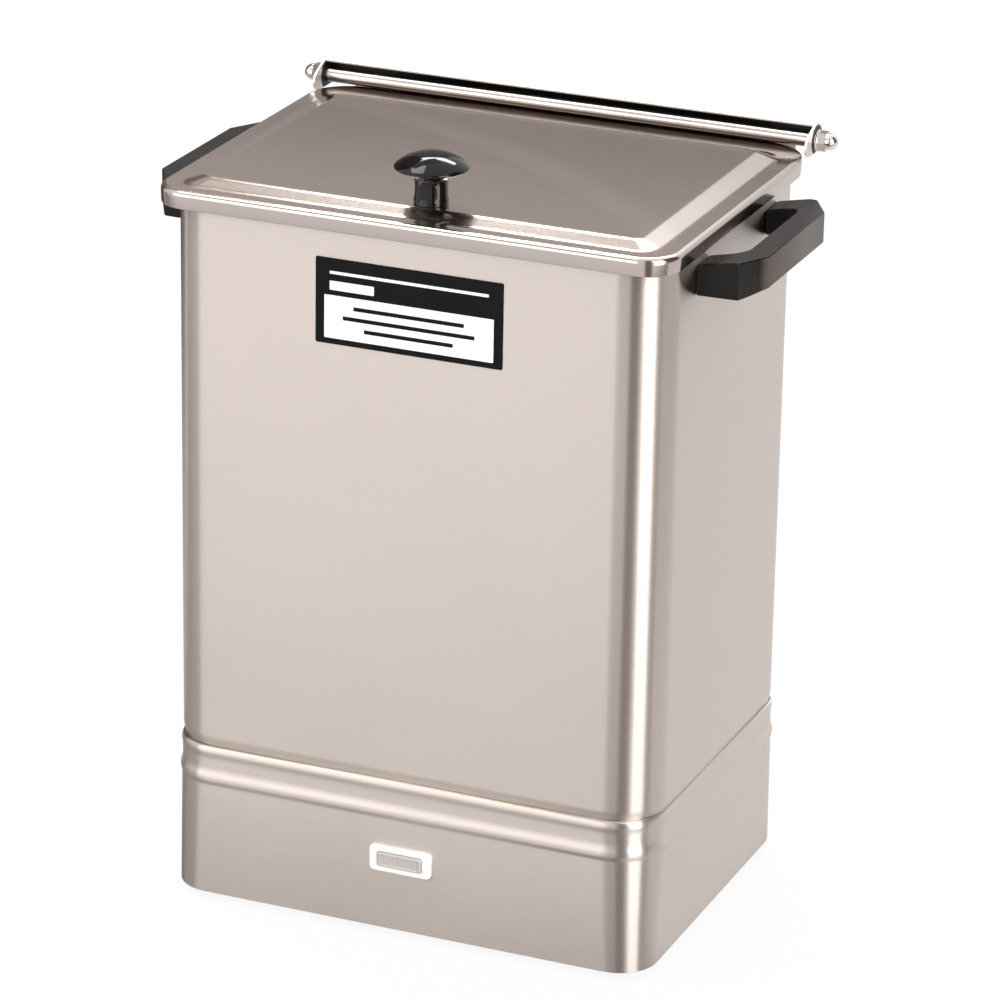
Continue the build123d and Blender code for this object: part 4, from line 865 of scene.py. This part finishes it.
class HEATER_OT_lamp(bpy.types.Operator):
    """Pilot lamp: a soft-edged bezel round a raised frosted lens"""

    bl_idname = "heater.lamp"
    bl_label = "Pilot lamp"

    def execute(self, context):
        proud = context.scene.heater_sizes.lens_proud / MM
        wall = -BASE_D

        def ring(width, height, radius, out):
            flat = outline(width / 2, -height / 2, height / 2, radius, radius, 8)
            return [Vector((x, wall - out, LAMP_Z + z)) for x, z in flat]

        bezel = [
            (ring(36.0, 15.2, 3.0, 0.0), 0),
            (ring(36.0, 15.2, 3.0, 1.7), 1.4),
            (ring(33.0, 12.6, 2.4, 2.6), 1.4),
            (ring(27.4, 9.6, 1.6, 2.6), 0.9),
            (ring(26.0, 8.6, 1.3, 2.2), 0.2),
            (ring(25.9, 8.5, 1.3, 0.0), 0),
        ]
        lens = [
            (ring(25.8, 8.4, 1.2, 0.0), 0),
            (ring(25.8, 8.4, 1.2, 2.5), 0.3),
            (ring(24.4, 7.2, 1.0, proud), 0.9),
            (ring(22.8, 5.8, 0.8, proud), 0.4),
            (ring(21.6, 4.8, 0.6, proud - 0.35), 0.4),
            (ring(1.0, 0.6, 0.2, proud - 0.35), 0),
        ]
        mesh = skin("bezel_moulded", bezel, 5, caps=False)
        new_piece("bezel_moulded", mesh, CABINET, finishes()["bezel"], replaced=["lamp_bezel"])
        mesh = skin("lens_moulded", lens, 5)
        new_piece("lens_moulded", mesh, CABINET, finishes()["lens"], replaced=["lamp_lens"])
        dress(finishes()["moulded"], "lamp_body")
        dress(finishes()["brass"], "lamp_tabs")
        return {"FINISHED"}


class HEATER_OT_hinge(bpy.types.Operator):
    """Hinge: guard sheet, barrel, rod, washers, cap nuts and rivets"""

    bl_idname = "heater.hinge"
    bl_label = "Hinge"

    def execute(self, context):
        kept = finishes()
        dress(kept["guard"], "hinge_guard")
        dress(kept["barrel"], "hinge_tube")
        dress(kept["bright"], "hinge_rod", "hinge_washers", "cap_nut_left", "cap_nut_right", "guard_rivets")
        return {"FINISHED"}


class HEATER_OT_rack(bpy.types.Operator):
    """Wire rack and its three hoops"""

    bl_idname = "heater.rack"
    bl_label = "Rack"

    def execute(self, context):
        hoops = ("rack_divider_front", "rack_divider_middle", "rack_divider_rear")
        dress(finishes()["wire"], "rack_grid", *hoops)
        return {"FINISHED"}


class HEATER_OT_heating(bpy.types.Operator):
    """Element, its seals and nuts, and the thermostat's bulb"""

    bl_idname = "heater.heating"
    bl_label = "Element and bulb"

    def execute(self, context):
        kept = finishes()
        dress(kept["sheath"], "heating_element")
        dress(kept["seal"], "element_gaskets")
        dress(kept["brass"], "element_nuts", "element_terminals", "bulb_gland", "bulb_gland_nut")
        dress(kept["copper"], "sensing_bulb", "capillary", "bulb_clips")
        return {"FINISHED"}


class HEATER_OT_control(bpy.types.Operator):
    """Thermostat, terminals, leads and the cord gland"""

    bl_idname = "heater.control"
    bl_label = "Controls and wiring"

    def execute(self, context):
        kept = finishes()
        dress(kept["moulded"], "thermostat_body", "cord_gland", "cord_gland_nut")
        dress(kept["knob"], "thermostat_knob")
        dress(kept["zinc"], "thermostat_bracket", "thermostat_nut", "thermostat_shaft")
        dress(kept["zinc"], "terminal_screws", "earth_stud", "earth_nut")
        dress(kept["block"], "terminal_block")
        dress(kept["red"], "lead_element_feed", "lead_lamp")
        dress(kept["pale"], "lead_element_return")
        dress(kept["green"], "lead_earth")
        return {"FINISHED"}


class HEATER_OT_underside(bpy.types.Operator):
    """Bottom cover, feet and fixings"""

    bl_idname = "heater.underside"
    bl_label = "Underside and fixings"

    def execute(self, context):
        kept = finishes()
        dress(kept["cover"], "bottom_cover")
        dress(kept["foot"], "foot_front_left", "foot_front_right", "foot_rear_left", "foot_rear_right")
        dress(kept["seal"], "handle_washers")
        fixings = ("foot_screws", "foot_nuts", "cover_screws", "handle_screws", "knob_screw", "knob_washer")
        dress(kept["zinc"], *fixings)
        return {"FINISHED"}


class HEATER_OT_stage(bpy.types.Operator):
    """Floor, light and the camera"""

    bl_idname = "heater.stage"
    bl_label = "Stage"

    def execute(self, context):
        scene = context.scene
        scene.view_settings.view_transform = "Standard"
        white = tuple(scene.heater_colours.backdrop)
        self.floor(white)
        self.sky(white)
        self.cards()
        self.lamps()
        self.camera(scene)
        return {"FINISHED"}

    def rays(self, tree, *kinds):
        """1 for rays of any of the kinds."""
        made = tree.tree.nodes.new("ShaderNodeLightPath").outputs
        found = Signal(tree, made[kinds[0]])
        for kind in kinds[1:]:
            found = found.calc("MAXIMUM", Signal(tree, made[kind]))
        return found

    def floor(self, white):
        """White for the camera; reflections see a painted shadow in front and painted light close by on the
        right.
        """
        work = bmesh.new()
        bmesh.ops.create_grid(work, x_segments=1, y_segments=1, size=FLOOR_SPAN)
        mesh = meshed("studio_floor", work)
        floor = bpy.data.objects.new("studio_floor", mesh)
        bpy.context.scene.collection.objects.link(floor)
        tree = finish_tree("studio_floor")
        where = tree.axis("Y")
        # painted shadow and painted light, seen only in reflections
        painted_light_beside = tree.axis("X").between(0.10, 0.155) * where.between(-0.16, -0.04) * 0.90
        ahead = (where * -1.0).between(0.05, 1.15) * 0.76 + 0.26
        painted_light_behind = where.between(-0.15, 0.20) * 0.90 - where.between(0.35, 1.10) * 0.22
        shade = ahead.calc("MAXIMUM", painted_light_behind).calc("MAXIMUM", painted_light_beside)
        mirrored = self.rays(tree, "Is Glossy Ray", "Is Transmission Ray")
        level = tree.blend(mirrored, colour(white), tree.blend(shade, (0.0, 0.0, 0.0, 1.0), colour(white)))
        paint = tree.node("ShaderNodeBsdfDiffuse", {}, {"Color": colour(white, 0.88)})
        glow = tree.node("ShaderNodeEmission", {}, {"Color": level, "Strength": 1.0})
        share = self.rays(tree, "Is Camera Ray") * 0.90 + mirrored * 0.92
        mixed = tree.node("ShaderNodeMixShader", {}, {0: share, 1: paint, 2: glow})
        tree.node("ShaderNodeOutputMaterial", {}, {"Surface": mixed})
        mesh.materials.append(tree.owner)

    def sky(self, white):
        world = bpy.data.worlds.new("studio")
        bpy.context.scene.world = world
        tree = Tree(world)
        seen = self.rays(tree, "Is Camera Ray", "Is Glossy Ray", "Is Transmission Ray")
        sky = tree.node("ShaderNodeBackground", {}, {"Color": colour(white), "Strength": seen * 0.45 + 0.55})
        tree.node("ShaderNodeOutputWorld", {}, {"Surface": sky})

    def card(self, name, middle, width, height, facing, level):
        """Flat card that only reflections meet."""
        work = bmesh.new()
        bmesh.ops.create_grid(work, x_segments=1, y_segments=1, size=0.5)
        turn = Vector(facing).to_track_quat("Z", "Y").to_matrix().to_4x4()
        size = Matrix.Diagonal((width, height, 1.0, 1.0))
        bmesh.ops.transform(work, matrix=Matrix.Translation(middle) @ turn @ size, verts=work.verts)
        mesh = meshed(name, work)
        card = bpy.data.objects.new(name, mesh)
        bpy.context.scene.collection.objects.link(card)
        tree = finish_tree(name)
        clear = tree.node("ShaderNodeBsdfTransparent")
        glow = tree.node("ShaderNodeEmission", {}, {"Color": colour(level), "Strength": 1.0})
        mixed = tree.node("ShaderNodeMixShader", {}, {0: self.rays(tree, "Is Glossy Ray"), 1: clear, 2: glow})
        tree.node("ShaderNodeOutputMaterial", {}, {"Surface": mixed})
        mesh.materials.append(tree.owner)

    def bearing(self, degrees, away, height):
        """Point at a bearing from the front, towards the heater's right, at a distance and height."""
        return Vector((away * sin(radians(degrees)), -away * cos(radians(degrees)), height))

    def cards(self):
        dim, shade, grey = (0.16, 0.115, 0.10), (0.24, 0.19, 0.17), (0.23, 0.205, 0.195)
        back, pale = (0.37, 0.34, 0.33), (0.60, 0.57, 0.55)
        for name, degrees, away, width, low, high, level in (
            ("gap_front", 32.0, 0.80, 0.25, 0.0, 1.6, shade),
            ("wing_right", 104.0, 1.00, 0.92, 0.30, 1.8, dim),
            ("wing_left", -117.0, 1.00, 0.80, 0.0, 1.8, dim),
            ("wall_rear", 215.0, 2.40, 2.45, 0.0, 2.50, back),
        ):
            middle = self.bearing(degrees, away, (low + high) / 2)
            facing = self.bearing(degrees + 180.0, 1.0, 0.0)
            self.card(name, middle, width, high - low, facing, level)
        for name, degrees, rise, away, width, height, level in (
            ("roof_rear", 229.0, 64.0, 2.0, 1.3, 0.50, pale),
            ("roof_front", -28.0, 42.0, 2.2, 0.9, 0.30, grey),
        ):
            middle = self.bearing(degrees, away * cos(radians(rise)), away * sin(radians(rise)))
            self.card(name, middle + AIM, width, height, -middle, level)

    def lamps(self):
        for name, degrees, rise, away, width, height, power in (
            ("softbox_right", 60.0, 14.0, 2.0, 0.92, 2.2, 34.0),
            ("softbox_left", -30.0, 16.0, 2.4, 2.2, 1.3, 19.0),
            ("softbox_top", -83.0, 68.0, 2.4, 1.1, 0.9, 16.0),
            ("strip_rear", 209.0, 53.0, 2.4, 2.6, 0.36, 46.0),
        ):
            lamp = bpy.data.lights.new(name, "AREA")
            lamp.shape = "RECTANGLE"
            lamp.size = width
            lamp.size_y = height
            lamp.energy = power
            holder = bpy.data.objects.new(name, lamp)
            bpy.context.scene.collection.objects.link(holder)
            spot = self.bearing(degrees, away * cos(radians(rise)), away * sin(radians(rise)))
            holder.location = spot + AIM
            holder.rotation_euler = spot.to_track_quat("Z", "Y").to_euler()

    def camera(self, scene):
        back = Vector((0.35882, -0.86200, 0.35804))
        right = Vector((0.92321, 0.38430, 0.0))
        up = Vector((-0.13760, 0.33055, 0.93370))
        roll_c, roll_s = 0.99984, 0.01780
        across = right * roll_c + up * roll_s
        above = up * roll_c - right * roll_s
        view = Matrix((across, above, back)).transposed().to_4x4()
        data = bpy.data.cameras.new("photo_camera")
        data.sensor_fit = "HORIZONTAL"
        data.sensor_width = SENSOR_MM
        data.lens = FOCAL_PX * SENSOR_MM / FRAME_PX
        data.clip_end = FAR_CLIP
        camera = bpy.data.objects.new("photo_camera", data)
        scene.collection.objects.link(camera)
        camera.matrix_world = Matrix.Translation((0.9764, -2.3223, 1.1816)) @ view
        scene.camera = camera


PIECES = (
    HEATER_OT_stage,
    HEATER_OT_tank,
    HEATER_OT_skirt,
    HEATER_OT_lid,
    HEATER_OT_knob,
    HEATER_OT_handles,
    HEATER_OT_plate,
    HEATER_OT_lamp,
    HEATER_OT_hinge,
    HEATER_OT_rack,
    HEATER_OT_heating,
    HEATER_OT_control,
    HEATER_OT_underside,
)


class HEATER_PT_panel(bpy.types.Panel):
    """Lists the heater's pieces and settings"""

    bl_idname = "HEATER_PT_panel"
    bl_label = "Hot pack heater"
    bl_space_type = "VIEW_3D"
    bl_region_type = "UI"
    bl_category = "Heater"

    def draw(self, context):
        for group in (context.scene.heater_sizes, context.scene.heater_colours):
            for key in group.bl_rna.properties.keys():
                if key not in ("rna_type", "name"):
                    self.layout.prop(group, key)
        for piece in PIECES:
            self.layout.operator(piece.bl_idname)


CLASSES = (HeaterSizes, HeaterColours, *PIECES, HEATER_PT_panel)


def register():
    for kind in CLASSES:
        bpy.utils.register_class(kind)
    bpy.types.Scene.heater_sizes = bpy.props.PointerProperty(type=HeaterSizes)
    bpy.types.Scene.heater_colours = bpy.props.PointerProperty(type=HeaterColours)


def unregister():
    del bpy.types.Scene.heater_colours
    del bpy.types.Scene.heater_sizes
    for kind in reversed(CLASSES):
        bpy.utils.unregister_class(kind)


def main():
    register()
    for piece in PIECES:
        group, action = piece.bl_idname.split(".")
        getattr(getattr(bpy.ops, group), action)()


if __name__ == "__main__":
    main()
